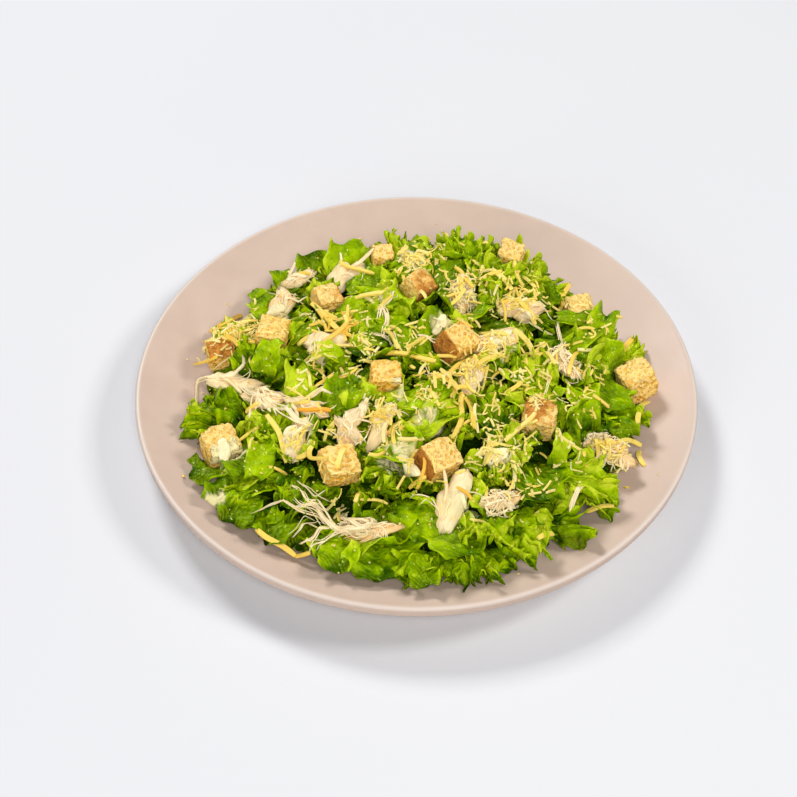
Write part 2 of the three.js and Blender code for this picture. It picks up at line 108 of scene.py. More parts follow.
FLAT_LEAVES = [
    (311, 271, 100, 40, 19, 17, 0.3), (347, 265, 88, 36, 22, 20, 0.65), (366, 268, 60, 30, 18, 16, 0.6),
    (414, 264, 80, 12, 20, 18, 0.35), (514, 254, 95, 44, 20, 13, 0.9), (546, 298, 20, 10, 15, 14, 0.2),
    (593, 338, 55, 22, 32, 15, 0.55), (574, 348, 40, 18, 30, 12, 0.5), (604, 354, -20, 18, 28, 13, 0.6),
    (608, 386, -70, 4, 30, 18, 0.45), (584, 400, -85, 12, 28, 16, 0.55),
    (540, 480, -95, 14, 32, 26, 0.35), (448, 536, -60, 12, 30, 24, 0.45), (386, 558, -82, 4, 22, 36, 0.5),
    (338, 557, -100, 6, 20, 17, 0.5), (320, 542, -70, 14, 18, 16, 0.65),
    (284, 524, -120, 8, 24, 20, 0.35), (303, 530, -105, 6, 24, 18, 0.25),
    (374, 530, 20, 18, 34, 20, 0.45), (211, 466, -165, 8, 19, 18, 0.45), (238, 458, -60, 12, 24, 18, 0.3),
    (231, 489, -118, 8, 25, 20, 0.3), (241, 509, -125, 2, 20, 17, 0.3), (424, 571, -92, 2, 17, 15, 0.45),
    (618, 429, -50, -4, 17, 13, 0.3), (262, 299, 130, 8, 15, 12, 0.5), (286, 283, 115, 8, 14, 11, 0.4),
    (260, 456, -88, 4, 26, 13, 0.6), (296, 395, 84, 22, 30, 13, 0.9), (234, 336, 150, 20, 18, 15, 0.7),
    (270, 308, 130, 16, 19, 17, 0.45), (394, 448, -40, 26, 34, 26, 0.55), (432, 418, 30, 14, 26, 14, 1.0),
    (362, 340, -20, 20, 24, 16, 0.35), (418, 346, 120, 20, 24, 17, 0.4), (462, 315, 8, 18, 28, 14, 0.55),
    (398, 300, 60, 24, 22, 17, 0.85), (416, 400, 10, 20, 28, 13, 0.55), (476, 498, -70, 24, 22, 13, 0.9),
    (424, 522, 150, 18, 26, 20, 0.5), (514, 300, -30, 20, 24, 18, 0.4), (446, 277, 20, 10, 22, 17, 0.3),
    (365, 285, 5, 8, 19, 14, 0.4), (340, 400, 70, 22, 24, 18, 0.4),
]
# Leaves that lie over a topping: the same, and how far they are above the heap.
OVER_LEAVES = [
    (268, 358, -110, -24, 18, 13, 0.5, 7), (326, 355, -15, 6, 15, 11, 0.8, 9),
    (576, 320, -10, 4, 20, 10, 0.35, 5),
]

CHICKEN_NODES = sorted(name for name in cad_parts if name.startswith("chicken"))
CROUTON_NODES = sorted(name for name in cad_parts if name.startswith("crouton"))
SLABS = ("chicken_01", "chicken_02", "chicken_03", "chicken_08", "chicken_09")  # smooth pieces
WHOLE_SLABS = ("chicken_08", "chicken_09")  # smooth pieces of one chunk
TUFTS = ("chicken_10", "chicken_11", "chicken_14", "chicken_16", "chicken_17")  # pulled into fine shreds


# ---- Even numbers and noise ----


def random_from(seed):
    """A seeded source of even numbers from 0 to 1, the same as the one that shapes the solids."""
    state = seed & MASK
    while True:
        state = (state + 0x6D2B79F5) & MASK
        t = ((state ^ (state >> 15)) * (state | 1)) & MASK
        t ^= (t + (((t ^ (t >> 7)) * (t | 61)) & MASK)) & MASK
        yield ((t ^ (t >> 14)) & MASK) / 2**32


def hashed(cells, seed):
    """An even number from 0 to 1 for each row of three whole numbers."""
    x, y, z = (cells[..., i].astype(np.int64) for i in range(3))
    h = ((x * 73856093) ^ (y * 19349663) ^ (z * 83492791) ^ (seed * 40503)) & MASK
    h = ((h ^ (h >> 16)) * 0x7FEB352D) & MASK
    h = ((h ^ (h >> 15)) * 0x3C6EF35F) & MASK
    return ((h ^ (h >> 16)) & MASK) / 2**32


def noise(points, size, seed):
    """Smooth noise from -1 to 1 at each point, with lumps of a size, which may differ along each axis."""
    p = np.asarray(points, float) / size
    cell = np.floor(p)
    share = p - cell
    share = share * share * (3 - 2 * share)
    total = 0
    for corner in itertools.product((0, 1), repeat=3):
        weight = np.prod(np.where(corner, share, 1 - share), axis=-1)
        total = total + weight * hashed(cell + corner, seed)
    return 2 * total - 1


def warp(points, key, size, amount, seed):
    """Shifts points smoothly in every direction, by up to an amount, as noise at the key's places says."""
    return points + amount * np.stack([noise(key, size, seed + axis) for axis in range(3)], axis=-1)


def pit_distance(points, size, seed):
    """How far each point is from the nearest of many scattered spots, as a share of their spacing."""
    p = np.asarray(points, float) / size
    cell = np.floor(p)
    nearest = np.full(p.shape[:-1], np.inf)
    for step in itertools.product((-1, 0, 1), repeat=3):
        beside = cell + step
        spot = beside + np.stack([hashed(beside, seed + axis) for axis in range(3)], axis=-1)
        nearest = np.minimum(nearest, np.linalg.norm(p - spot, axis=-1))
    return nearest


def smooth_step(x, low, high):
    share = np.clip((x - low) / (high - low), 0, 1)
    return share * share * (3 - 2 * share)


# ---- The camera's place ----

ELEVATION = math.radians(CAMERA["elevation"])
BACK = Vector((0, -math.cos(ELEVATION), math.sin(ELEVATION)))  # the way from what it aims at to the camera
CAMERA_PLACE = Vector(CAMERA_AIM) + BACK * CAMERA["distance"]
CAMERA_TURN = BACK.to_track_quat("Z", "Y") @ Quaternion((0, 0, 1), math.radians(CAMERA["roll"]))


def seen_place(px, py, step, height):
    """Where the camera, looking through a pixel of the photograph, first meets a height given for x and y."""
    focal = CAMERA["lens"] / CAMERA["sensor"] * CAMERA["pixels"]
    middle = CAMERA["pixels"] / 2
    ray = (CAMERA_TURN @ Vector(((px - middle) / focal, (middle - py) / focal, -1))).normalized()
    steps = np.array(CAMERA_PLACE) + np.array(ray) * np.arange(NEAREST, FARTHEST, step)[:, None]
    return steps[np.argmax(steps[:, 2] < height(*steps[:, :2].T))]


# ---- Meshes ----


def around(count):
    """Angles evenly round a turn."""
    return np.linspace(0, 2 * math.pi, count, endpoint=False)


def near(rng, middle, spread, low, high):
    """A number near a middle, and no lower or higher than said."""
    return float(np.clip(rng.normal(middle, spread), low, high))


def mesh_points(mesh):
    """A mesh's points in mm."""
    return np.array([v.co for v in mesh.vertices]) / MM


class Piece:
    """Gathers points, faces and named numbers for each point, and makes one object of them."""

    def __init__(self, *names):
        self.points, self.faces, self.count = [], [], 0
        self.values = {name: [] for name in names}

    def add(self, points, faces, **values):
        points = np.reshape(points, (-1, 3))
        self.points.append(points)
        self.faces += [face for some in faces for face in np.asarray(some) + self.count]
        for name, kept in self.values.items():
            kept.append(np.broadcast_to(np.ravel(values.get(name, 0.0)), len(points)))
        self.count += len(points)

    def make(self, name, material, smooth=True):
        mesh = bpy.data.meshes.new(name)
        mesh.from_pydata(np.concatenate(self.points) * MM, [], self.faces, shade_flat=not smooth)
        mesh.validate()
        for name_of_value, kept in self.values.items():
            attribute = mesh.attributes.new(name_of_value, "FLOAT", "POINT")
            attribute.data.foreach_set("value", np.concatenate(kept).astype(np.float32))
        mesh.materials.append(material)
        piece = bpy.data.objects.new(name, mesh)
        bpy.context.scene.collection.objects.link(piece)
        return piece


def finish(piece, slot, *nodes):
    """Sets a piece on the one body, and hides the solids that it stands for. The slot is not used."""
    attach(piece, "root")
    if nodes:
        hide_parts(*nodes)
    return piece


def loft(rings):
    """A closed skin over rings of points that run anticlockwise about the way from the first to the last."""
    rings = np.asarray(rings, float)
    count, sides = rings.shape[:2]
    index = np.arange(count * sides).reshape(count, sides)
    after = np.roll(index, -1, axis=1)
    quads = np.stack([index[:-1], after[:-1], after[1:], index[1:]], axis=-1).reshape(-1, 4)
    first, last = count * sides, count * sides + 1
    start = np.stack([np.full(sides, first), after[0], index[0]], axis=-1)
    end = np.stack([np.full(sides, last), index[-1], after[-1]], axis=-1)
    points = np.concatenate([rings.reshape(-1, 3), [rings[0].mean(0)], [rings[-1].mean(0)]])
    return points, [quads, start, end]


def sheet_solid(grid, thickness):
    """A closed thin solid round a grid of points. The upper side's points come first."""
    rows, columns = grid.shape[:2]
    normal = np.cross(np.gradient(grid, axis=0), np.gradient(grid, axis=1))
    normal /= np.maximum(np.linalg.norm(normal, axis=-1, keepdims=True), 1e-9)
    half = normal * np.reshape(thickness, np.shape(thickness) + (1,)) / 2
    points = np.concatenate([(grid + half).reshape(-1, 3), (grid - half).reshape(-1, 3)])
    index = np.arange(rows * columns).reshape(rows, columns)
    under = rows * columns
    a, b, c, d = index[:-1, :-1], index[:-1, 1:], index[1:, :-1], index[1:, 1:]
    upper = np.stack([a, c, d, b], axis=-1).reshape(-1, 4)
    lower = np.stack([b, d, c, a], axis=-1).reshape(-1, 4) + under
    edge = np.concatenate([index[:-1, 0], index[-1, :-1], index[:0:-1, -1], index[0, :0:-1]])
    after = np.roll(edge, -1)
    walls = np.stack([after, edge, edge + under, after + under], axis=-1)
    return points, [upper, lower, walls]


# Sections to sweep along a path.
ROUND = [(math.cos(a), math.sin(a)) for a in around(6)]
STICK = [(1, -0.8), (1, 0.8), (0.85, 1), (-0.85, 1), (-1, 0.8), (-1, -0.8), (-0.85, -1), (0.85, -1)]
SLIVER = [(1, -1), (1, 1), (-1, 1), (-1, -1)]


def tube(path, half_width, half_height, section=ROUND, twist=0.0):
    """A closed solid of a section along a path. The half sizes and the twist may change along it."""
    path = np.asarray(path, float)
    along = np.gradient(path, axis=0)
    along /= np.maximum(np.linalg.norm(along, axis=1, keepdims=True), 1e-9)
    side = np.cross([0, 0, 1], along)
    steep = np.linalg.norm(side, axis=1) < 0.05
    side[steep] = (1, 0, 0)
    side /= np.linalg.norm(side, axis=1, keepdims=True)
    up = np.cross(along, side)
    turn = np.broadcast_to(twist, len(path))[:, None]
    side, up = side * np.cos(turn) + up * np.sin(turn), up * np.cos(turn) - side * np.sin(turn)
    wide = np.broadcast_to(half_width, len(path))[:, None, None]
    high = np.broadcast_to(half_height, len(path))[:, None, None]
    section = np.asarray(section)
    rings = path[:, None] + side[:, None] * section[:, :1] * wide + up[:, None] * section[:, 1:] * high
    return loft(rings)


# ---- Materials ----


class Look:
    """A material with one Principled shader, and the nodes that feed it.

    Its glow is how far light goes inside it: a share for each colour, and the depth in mm.
    """

    def __init__(self, name, specular, roughness=0.5, glow=None, share=0.2):
        self.material = bpy.data.materials.new(name)
        self.material.use_nodes = True
        self.tree = self.material.node_tree
        self.shader = self.tree.nodes["Principled BSDF"]
        self.set("Specular IOR Level", specular)
        self.set("Roughness", roughness)
        if glow:
            self.set("Subsurface Weight", share)
            self.set("Subsurface Radius", glow[:3])
            self.set("Subsurface Scale", glow[3] * MM)

    def set(self, socket, value):
        self.shader.inputs[socket].default_value = value

    def node(self, kind, inputs, **properties):
        """A new node with its inputs linked to sockets or set to values."""
        made = self.tree.nodes.new("ShaderNode" + kind)
        for name, value in properties.items():
            setattr(made, name, value)
        for name, value in inputs.items():
            socket = made.inputs[name]
            if isinstance(value, bpy.types.NodeSocket):
                self.tree.links.new(value, socket)
            else:
                socket.default_value = (*value, 1) if socket.type == "RGBA" else value
        return made

    def feed(self, socket, value):
        self.tree.links.new(value, self.shader.inputs[socket])

    def value(self, name):
        """A number that the mesh keeps for each point."""
        return self.node("Attribute", {}, attribute_name=name).outputs["Fac"]

    def texture(self, kind, size, **inputs):
        """A texture in the object's own space, with lumps of a size in mm."""
        place = self.node("TexCoord", {}).outputs["Object"]
        return self.node(kind, {"Vector": place, "Scale": 1 / (size * MM), **inputs})

    def grain(self, size, detail=2.0):
        """Smooth noise from 0 to 1."""
        return self.texture("TexNoise", size, Detail=detail).outputs["Fac"]

    def cells(self, size):
        """The distance from the nearest of many scattered spots."""
        return self.texture("TexVoronoi", size).outputs["Distance"]

    def maths(self, operation, a, b, c=0.0):
        return self.node("Math", {0: a, 1: b, 2: c}, operation=operation).outputs[0]

    def mottled(self, value, size, detail, depth):
        """A value with noise added, as far up as down."""
        noise = self.maths("SUBTRACT", self.grain(size, detail), 0.5)
        return self.maths("MULTIPLY_ADD", noise, depth, value)

    def ranged(self, value, low, high, to_low=0.0, to_high=1.0):
        names = ("Value", "From Min", "From Max", "To Min", "To Max")
        return self.node("MapRange", dict(zip(names, (value, low, high, to_low, to_high)))).outputs[0]

    def ramp(self, value, *stops):
        """The colour at a value, between stops of a place and a colour."""
        made = self.node("ValToRGB", {"Fac": value})
        elements = made.color_ramp.elements
        while len(elements) < len(stops):
            elements.new(0.5)
        for element, (place, colour) in zip(elements, stops):
            element.position = place
            element.color = (*colour, 1)
        return made.outputs[0]

    def patchy(self, value, one, other):
        """One colour where a noise is low and another where it is high."""
        return self.ramp(value, (0.3, one), (0.7, other))

    def blend(self, share, a, b, most=1.0, blend_type="MIX"):
        """The colour a turning into b as a share goes from 0 to 1, as far as its most."""
        if most < 1:
            share = self.maths("MULTIPLY", share, most)
        return self.node("Mix", {0: share, 6: a, 7: b}, data_type="RGBA", blend_type=blend_type).outputs[2]

    def bump(self, height, distance):
        """Adds relief, in mm from lowest to highest, over what the shader has."""
        before = self.shader.inputs["Normal"]
        inputs = {"Height": height, "Distance": distance * MM, "Strength": 1.0}
        if before.is_linked:
            inputs["Normal"] = before.links[0].from_socket
        self.feed("Normal", self.node("Bump", inputs).outputs[0])


def plate_material():
    """Matte glaze, with a painted highlight: a paler colour along the top of the rim."""
    look = Look("matte_stoneware", 0.45)
    mottle = look.grain(14, 3)
    colour = look.patchy(mottle, (0.60, 0.45, 0.36), (0.635, 0.48, 0.385))
    speck = look.ranged(look.grain(0.9, 1), 0.66, 0.76)
    colour = look.blend(speck, colour, (0.45, 0.32, 0.24), 0.12)
    # Painted highlight along the top of the rim, where the edge value is high.
    look.feed("Base Color", look.blend(look.value("edge"), colour, (0.75, 0.66, 0.59)))
    look.feed("Roughness", look.ranged(mottle, 0.3, 0.7, 0.42, 0.52))
    look.bump(look.grain(0.5), 0.02)
    return look.material


CREAM = (0.92, 0.81, 0.44)
# The colours of lettuce from its deep green to its pale ribs and edges.
LEAF_STOPS = [
    (0.0, (0.011, 0.034, 0.0)),
    (0.3, (0.047, 0.128, 0.0)),
    (0.55, (0.183, 0.322, 0.0)),
    (0.8, (0.390, 0.560, 0.0005)),
    (1.0, (0.585, 0.700, 0.025)),
]
LEAF_ROUGHNESS = (0.14, 0.36)


def leaf_material():
    """Lettuce. It reads how light the leaf is, which holds painted light and shade too, its veins, its
    underside and the dressing on it.
    """
    look = Look("lettuce", 0.2, glow=(0.7, 1.0, 0.03, 1.2), share=0.4)
    look.set("Specular Tint", (0.95, 1.0, 0.2, 1))
    vein, cream = look.value("vein"), look.value("cream")
    # Mottled at 5 and 1.6 mm: the leaf's uneven green, and painted shade of fine crinkles.
    lightness = look.mottled(look.mottled(look.value("tone"), 5, 3, 0.65), 1.6, 2, 0.3)
    colour = look.ramp(lightness, *LEAF_STOPS)
    colour = look.blend(vein, colour, (0.43, 0.565, 0.006), 0.6)
    colour = look.blend(look.value("under"), colour, (0.28, 0.415, 0.002), 0.3)
    look.feed("Base Color", look.blend(cream, colour, CREAM, 0.85))
    look.feed("Roughness", look.ranged(look.grain(3), 0.3, 0.7, *LEAF_ROUGHNESS))
    look.feed("Specular IOR Level", look.ranged(look.grain(2.4), 0.52, 0.64, 0.08, 0.6))  # wet patches
    look.bump(look.cells(2.6), 0.75)
    look.bump(look.grain(1.2, 3), 0.24)
    look.bump(vein, 0.3)
    look.bump(cream, 0.5)
    return look.material


def crouton_material():
    """Bread, toasted where the mesh says, with pores and a brown crust. The mesh's toast value also holds
    painted shade on the sides and in the pits, and the pores are painted darker as shade.
    """
    look = Look("toasted_bread", 0.15, 0.8, (0.8, 0.5, 0.15, 1.0))
    cream = look.value("cream")
    toast = look.mottled(look.value("toast"), 3, 3, 0.45)
    pores = look.ranged(look.cells(1.8), 0.24, 0.5)
    # Painted shade: the middles of the pores are more toasted, so darker.
    toast = look.maths("MULTIPLY_ADD", look.maths("SUBTRACT", 1.0, pores), 0.45, toast)
    pale, golden = (0.0, (1.0, 0.69, 0.24)), (0.4, (1.0, 0.59, 0.115))
    toasted, brown = (0.75, (0.98, 0.43, 0.018)), (1, (0.70, 0.26, 0.01))
    colour = look.ramp(toast, pale, golden, toasted, brown)
    crust = look.patchy(look.grain(2.5, 4), (0.40, 0.14, 0.022), (0.74, 0.31, 0.05))
    colour = look.blend(look.value("crust"), colour, crust)
    look.feed("Base Color", look.blend(cream, colour, CREAM, 0.9))
    look.bump(look.grain(0.5, 3), 0.1)
    look.bump(pores, 0.6)
    look.bump(cream, 0.5)
    return look.material


def chicken_material():
    """Cooked meat, with fibres along the grain that the mesh gives, tan where its tone is high."""
    look = Look("pulled_chicken", 0.4, glow=(0.5, 0.5, 0.45, 0.8))
    white, pale = (0.0, (1.0, 0.82, 0.50)), (0.4, (1.0, 0.72, 0.36))
    tan, brown = (0.75, (0.90, 0.57, 0.22)), (1, (0.5, 0.27, 0.09))
    colour = look.ramp(look.mottled(look.value("tone"), 6, 3, 0.7), white, pale, tan, brown)
    along_grain = {axis: look.value("grain_" + axis.lower()) for axis in "XYZ"}
    place = look.node("CombineXYZ", along_grain).outputs[0]
    strands = look.node("TexNoise", {"Vector": place, "Scale": 1.0, "Detail": 2.0}).outputs["Fac"]
    stringy = look.value("fibre")
    fibre = look.maths("MULTIPLY", look.ranged(strands, 0.56, 0.4), stringy)
    colour = look.blend(fibre, colour, (0.88, 0.64, 0.36), 0.5, "MULTIPLY")
    look.feed("Base Color", look.blend(look.value("cream"), colour, CREAM, 0.65))
    look.feed("Roughness", look.ranged(look.grain(4), 0.3, 0.7, 0.36, 0.58))
    look.bump(look.maths("MULTIPLY", strands, stringy), 1.0)
    look.bump(look.grain(0.9, 3), 0.15)
    return look.material


def cheese_material():
    """Grated cheese, from pale over yellow to orange by its tone."""
    look = Look("grated_cheese", 0.45, 0.42, (0.6, 0.5, 0.15, 1.0))
    pale, yellow = (0.0, (0.95, 0.82, 0.38)), (0.35, (0.96, 0.74, 0.15))
    deep, orange = (0.7, (0.97, 0.61, 0.08)), (1, (0.95, 0.40, 0.015))
    tone = look.mottled(look.value("tone"), 2.5, 2, 0.2)
    look.feed("Base Color", look.ramp(tone, pale, yellow, deep, orange))
    look.bump(look.grain(0.7), 0.12)
    return look.material


def dressing_material():
    """Thick cream with specks of herbs."""
    look = Look("creamy_dressing", 0.5, 0.36, (0.6, 0.6, 0.5, 1.0))
    colour = look.patchy(look.grain(4), (0.93, 0.80, 0.44), (0.96, 0.85, 0.52))
    herb = look.ranged(look.grain(0.8, 0), 0.72, 0.78)
    look.feed("Base Color", look.blend(herb, colour, (0.42, 0.40, 0.2), 0.5))
    look.bump(look.grain(3), 0.12)
    return look.material


# ---- The plate ----


def level_distance(points):
    """How far points are from the plate's axis."""
    return np.hypot(points[..., 0], points[..., 1])


def plate_top(distance):
    """Height of the eating surface at a distance from the middle."""
    out = np.maximum(0, np.asarray(distance, float) - FLAT_RADIUS) / (PLATE_RADIUS - RIM_WIDTH - FLAT_RADIUS)
    return PLATE_FLOOR + (RIM_TOP - 1 - PLATE_FLOOR) * out**PLATE_CURVE


# The rim's side: how far inside the plate's edge, and how far above the rim's underside.
RIM_SIDE = [(2.6, -0.35), (1.4, 0.1), (0.5, 0.7), (0.25, 1.5), (0.5, 2.6), (0.35, 3.3)]
RIM_SIDE += [(0.05, 4.0), (0.15, 4.7), (0.6, 5.25)]
# The rim's top: how far inside the plate's edge, and how far below the highest point.
RIM_CREST = [(1.3, 0), (2.1, 0.05), (3.0, 0.3), (4.0, 0.7)]
UNDERSIDE = range(80, 130, 4)  # radii of the rings between the foot and the rim


def plate_profile():
    """Half a section's outline, from the underside round the rim to the middle of the top."""
    inner = FOOT_RADIUS - FOOT_WIDTH
    foot = [(inner - 1.5, FOOT_HEIGHT), (inner - 0.6, FOOT_HEIGHT * 0.6), (inner + 0.3, 0.3)]
    foot += [(inner + 0.8, 0), (FOOT_RADIUS - 1.5, 0), (FOOT_RADIUS - 0.8, 0.3)]
    foot += [(FOOT_RADIUS - 0.2, FOOT_HEIGHT * 0.5), (FOOT_RADIUS + 0.5, FOOT_HEIGHT)]
    underside = [(r, plate_top(r) - PLATE_WALL) for r in UNDERSIDE]
    underside[0] = (UNDERSIDE[0], (FOOT_HEIGHT + underside[1][1]) / 2)
    rim = [(PLATE_RADIUS - inside, RIM_TOP - RIM_HEIGHT + up) for inside, up in RIM_SIDE]
    rim += [(PLATE_RADIUS - inside, RIM_TOP - down) for inside, down in RIM_CREST]
    eating = [(r, plate_top(r)) for r in np.arange(PLATE_RADIUS - RIM_WIDTH, FLAT_RADIUS, -3.4)]
    middle = [(r, PLATE_FLOOR) for r in (FLAT_RADIUS - 2, 40, 20, 1)]
    return np.array([*foot, *underside, *rim, *eating, *middle])


def make_plate():
    """The plate. Its edge value says where the painted highlight lies, along the top of the rim."""
    angles = around(PLATE_SEGMENTS)
    out, height = plate_profile().T[:, :, None]
    rings = np.stack([out * np.cos(angles), out * np.sin(angles), height + 0 * angles], axis=-1)
    points, faces = loft(rings)
    # Painted highlight along the rim's top edge.
    edge = np.exp(-(((level_distance(points) - PLATE_RADIUS + 1.0) / 0.9) ** 2))
    edge *= smooth_step(points[:, 2], RIM_TOP - 1.2, RIM_TOP - 0.3)
    piece = Piece("edge")
    piece.add(points, faces, edge=0.75 * edge)
    finish(piece.make("plate_stoneware", plate_material()), "plate", "plate")


# ---- The heap ----


def heap_radius(angle):
    return HEAP_RADIUS + sum(depth * np.sin(count * angle + phase) for count, depth, phase in HEAP_LOBES)


def heap_top(x, y):
    """Height of the heap under its top leaves."""
    x, y = np.asarray(x, float), np.asarray(y, float)
    dx, dy = x - HEAP_CENTRE[0], y - HEAP_CENTRE[1]
    share = np.minimum(1, np.hypot(dx, dy) / heap_radius(np.arctan2(dy, dx)))
    dome = HEAP_RISE * (1 - share**3) ** 0.65 + HEAP_EDGE * share**3
    for mx, my, reach, height in HEAP_MOUNDS:
        dome = dome + height * np.maximum(0, 1 - ((x - mx) ** 2 + (y - my) ** 2) / reach**2) ** 2
    return plate_top(np.hypot(x, y)) + dome


def heap_place(angle, distance):
    """The place at an angle and a distance from the heap's middle."""
    return HEAP_CENTRE[0] + distance * math.cos(angle), HEAP_CENTRE[1] + distance * math.sin(angle)


def over_heap(px, py, rise):
    """The place a little above the heap that the photograph shows at a pixel."""
    return seen_place(px, py, step=0.25, height=lambda x, y: heap_top(x, y) + rise)


FOOD = ("tone", "vein", "under", "cream")  # what leaf_material reads for each point


def make_core(material):
    """The dark middle of the heap, which closes what the leaves leave open. Its darkest green is painted
    shade between the leaves.
    """
    angles = around(120)

    def ring(share, height):
        r = share * CORE_SHARE * heap_radius(angles)
        x, y = HEAP_CENTRE[0] + r * np.cos(angles), HEAP_CENTRE[1] + r * np.sin(angles)
        return np.stack([x, y, height(x, y)], axis=-1)

    def bottom(x, y):
        return plate_top(np.hypot(x, y)) + 0.4

    def top(x, y):
        level = np.stack([x, y, 0 * x], axis=-1)
        lumps = 1.6 * noise(level, 7, 5) + 0.9 * noise(level, 3, 6)
        return np.maximum(heap_top(x, y) - CORE_DEPTH + lumps, bottom(x, y) + 0.6)

    rings = [ring(share, bottom) for share in (0.1, 0.4, 0.7, 0.9, 0.97)]
    rings += [ring(share, top) for share in (1, *np.linspace(0.985, 0.02, 42))]
    piece = Piece(*FOOD)
    # Painted shade: a tone below every leaf's.
    piece.add(*loft(rings), tone=-0.05)
    return finish(piece.make("heap_core", material), "greens")


def topping_frames():
    """Every topping's middle, the way that it points and its half sizes."""
    frames = {}
    for name in CROUTON_NODES + CHICKEN_NODES:
        points = mesh_points(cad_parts[name].data)
        middle = (points.min(0) + points.max(0)) / 2
        axes = np.eye(3)
        if name in CHICKEN_NODES:
            axes = np.linalg.svd(points - points.mean(0), full_matrices=False)[2]
            for i in (0, 2):
                axes[i] *= 1 if axes[i][i] > 0 else -1
            axes[1] = np.cross(axes[2], axes[0])
            middle = points.mean(0)
            across = (points - middle) @ axes.T
            middle = middle + ((across.max(0) + across.min(0)) / 2) @ axes
        half = np.abs((points - middle) @ axes.T).max(0)
        frames[name] = (middle, axes, half)
    return frames


TOPPINGS = topping_frames()


# Leaves keep below a topping within the first of these shares of its half sizes, and are free beyond the
# other.
PRESS_SHARES = (0.8, 1.6)
PRESS_FREE = 34  # how much higher they may be there
PRESS_SINK = 2.2  # how much lower than they have to the pressed ones lie, at most


def press(points):
    """Pushes down what would run through a topping, so that the topping lies on it."""
    points = points.copy()
    for middle, axes, half in TOPPINGS.values():
        flat = (points - middle) @ axes[:2].T
        share = np.hypot(flat[..., 0] / (half[0] + 1.2), flat[..., 1] / (half[1] + 1.2))
        limit = middle[2] - 0.5 * half[2] + PRESS_FREE * smooth_step(share, *PRESS_SHARES)
        over = np.maximum(0, points[..., 2] - limit)
        points[..., 2] -= over + PRESS_SINK * (1 - np.exp(-over / 4))
    return points


# ---- Leaves ----

VEIN_PAIRS = 5
RELIEF_REACH = 14  # how many rows of points away a place's surroundings reach, at most


def vein_map(u, v, width, rise):
    """How much of a vein each point of a leaf is: its rib, and the pairs of veins that leave it."""
    half = 0.5 * width
    rib = np.exp(-((u * half / (0.9 * (1.25 - v))) ** 2))
    for pair in range(VEIN_PAIRS):
        start = pair / VEIN_PAIRS * 0.85
        ahead = np.maximum(0, v - start)
        line = ahead * rise * (1.2 + 0.15 * pair)
        distance = (np.abs(u) - line) * half
        rib = np.maximum(rib, 0.7 * np.exp(-((distance / 0.45) ** 2)) * (ahead > 0))
    return rib


def curly_shape(u, v, length, width, phases, frill):
    """A frilled piece of leaf lettuce: a fan whose outer edge is longer than it has room for."""
    angle = math.radians(62) * u
    bent = np.sin(4.5 * v + 3.5 * u + phases[1])
    wave = (width + 6) / 6.6 * math.pi * u + phases[2] + 1.6 * np.sin(3 * u + phases[3]) + 0.9 * bent
    fine = 2.6 * wave + phases[0] + 1.5 * np.sin(4 * u) + 1.8 * np.sin(6 * v - 5 * u + phases[3])
    loose = v**1.5
    notch = (1 - np.abs(np.sin(1.7 * wave + phases[1]))) ** 2
    reach = length * (0.2 + 0.8 * v) * (1 + 0.1 * v * np.sin(5 * u + phases[0]))
    reach = reach - 1.6 * frill * v**8 * notch * (1 + 0.5 * np.sin(4 * u + phases[1]))
    reach = reach - 2.2 * frill * v**2 * np.cos(wave) ** 2
    sideways = 2.2 * frill * loose * np.sin(2 * wave) + 1.1 * v**4 * np.cos(fine)
    angle = angle + sideways / np.maximum(reach, 1)
    x = reach * np.cos(angle) - 0.5 * length
    y = reach * np.sin(angle) * width / (1.7 * length)
    z = 0.13 * length * v**1.6 * np.sin(2 * math.pi * u + phases[1])
    z = z + 0.1 * length * (u * u * v - v * v)
    z = z + frill * (2.8 * loose * np.sin(wave) + 2.1 * v**3 * np.sin(fine))
    return np.stack([x, y, z], axis=-1), vein_map(u * 1.1, v, width, 0.75)


def jagged(t, corners, phase):
    """A broken line between -1 and 1 as t goes from -1 to 1."""
    each = np.arange(corners)
    return np.interp(t, np.linspace(-1, 1, corners), np.sin(7.1 * phase + 1.7 * each * each + each))


def flat_shape(u, v, length, width, phases, frill):
    """A torn piece of romaine: cupped across its rib, with slack edges."""
    along = 2 * v - 1
    sides = np.where(u > 0, jagged(along, 8, phases[2]), jagged(along, 8, phases[3]))
    half = 0.5 * width * (1 - 0.2 * along * along) * (1 + 0.12 * sides * np.abs(u))
    ends = np.where(along > 0, jagged(u, 6, phases[0]), jagged(u, 6, phases[1]))
    x = 0.5 * length * along + 0.07 * length * np.abs(along) ** 3 * ends
    slack = 0.09 * length * np.sin(4.2 * v + phases[0] + np.where(u > 0, 1.7, 0))
    z = (0.12 * width + slack) * u * u - 0.06 * length * along * along
    z = z + 0.8 * frill * u * u * np.sin(11 * v + phases[2] + 3 * np.sign(u))
    return np.stack([x, half * u, z], axis=-1), vein_map(u, 0.15 + 0.85 * v, width, 0.9)


# Each kind of leaf: its shape, and its rows and columns of points.
LEAF_KINDS = {
    "curly": (curly_shape, 20, 112),
    "flat": (flat_shape, 24, 18),
    "small_curly": (curly_shape, 9, 28),
    "small_flat": (flat_shape, 11, 9),
}
SMALL_SEED, EDGE_SEED = 500, 1000  # of the first leaf of each sort, so that no two share a seed
# How far apart and how high a leaf bulges between its veins, and the sizes and depths of its folds.
BLISTERS = {curly_shape: (4.5, 0.8), flat_shape: (5.0, 0.8)}
CRUMPLES = {curly_shape: [(9, 2.5), (4.2, 1.9), (2.2, 0.5)], flat_shape: [(12, 2.2), (5, 1.2)]}


def relief(height):
    """How far each place on a leaf stands out above those around it."""
    level = height
    for _ in range(RELIEF_REACH):
        wide = np.pad(level, 1, mode="edge")
        level = (wide[:-2, 1:-1] + wide[2:, 1:-1] + wide[1:-1, :-2] + wide[1:-1, 2:]) / 4
    return height - level


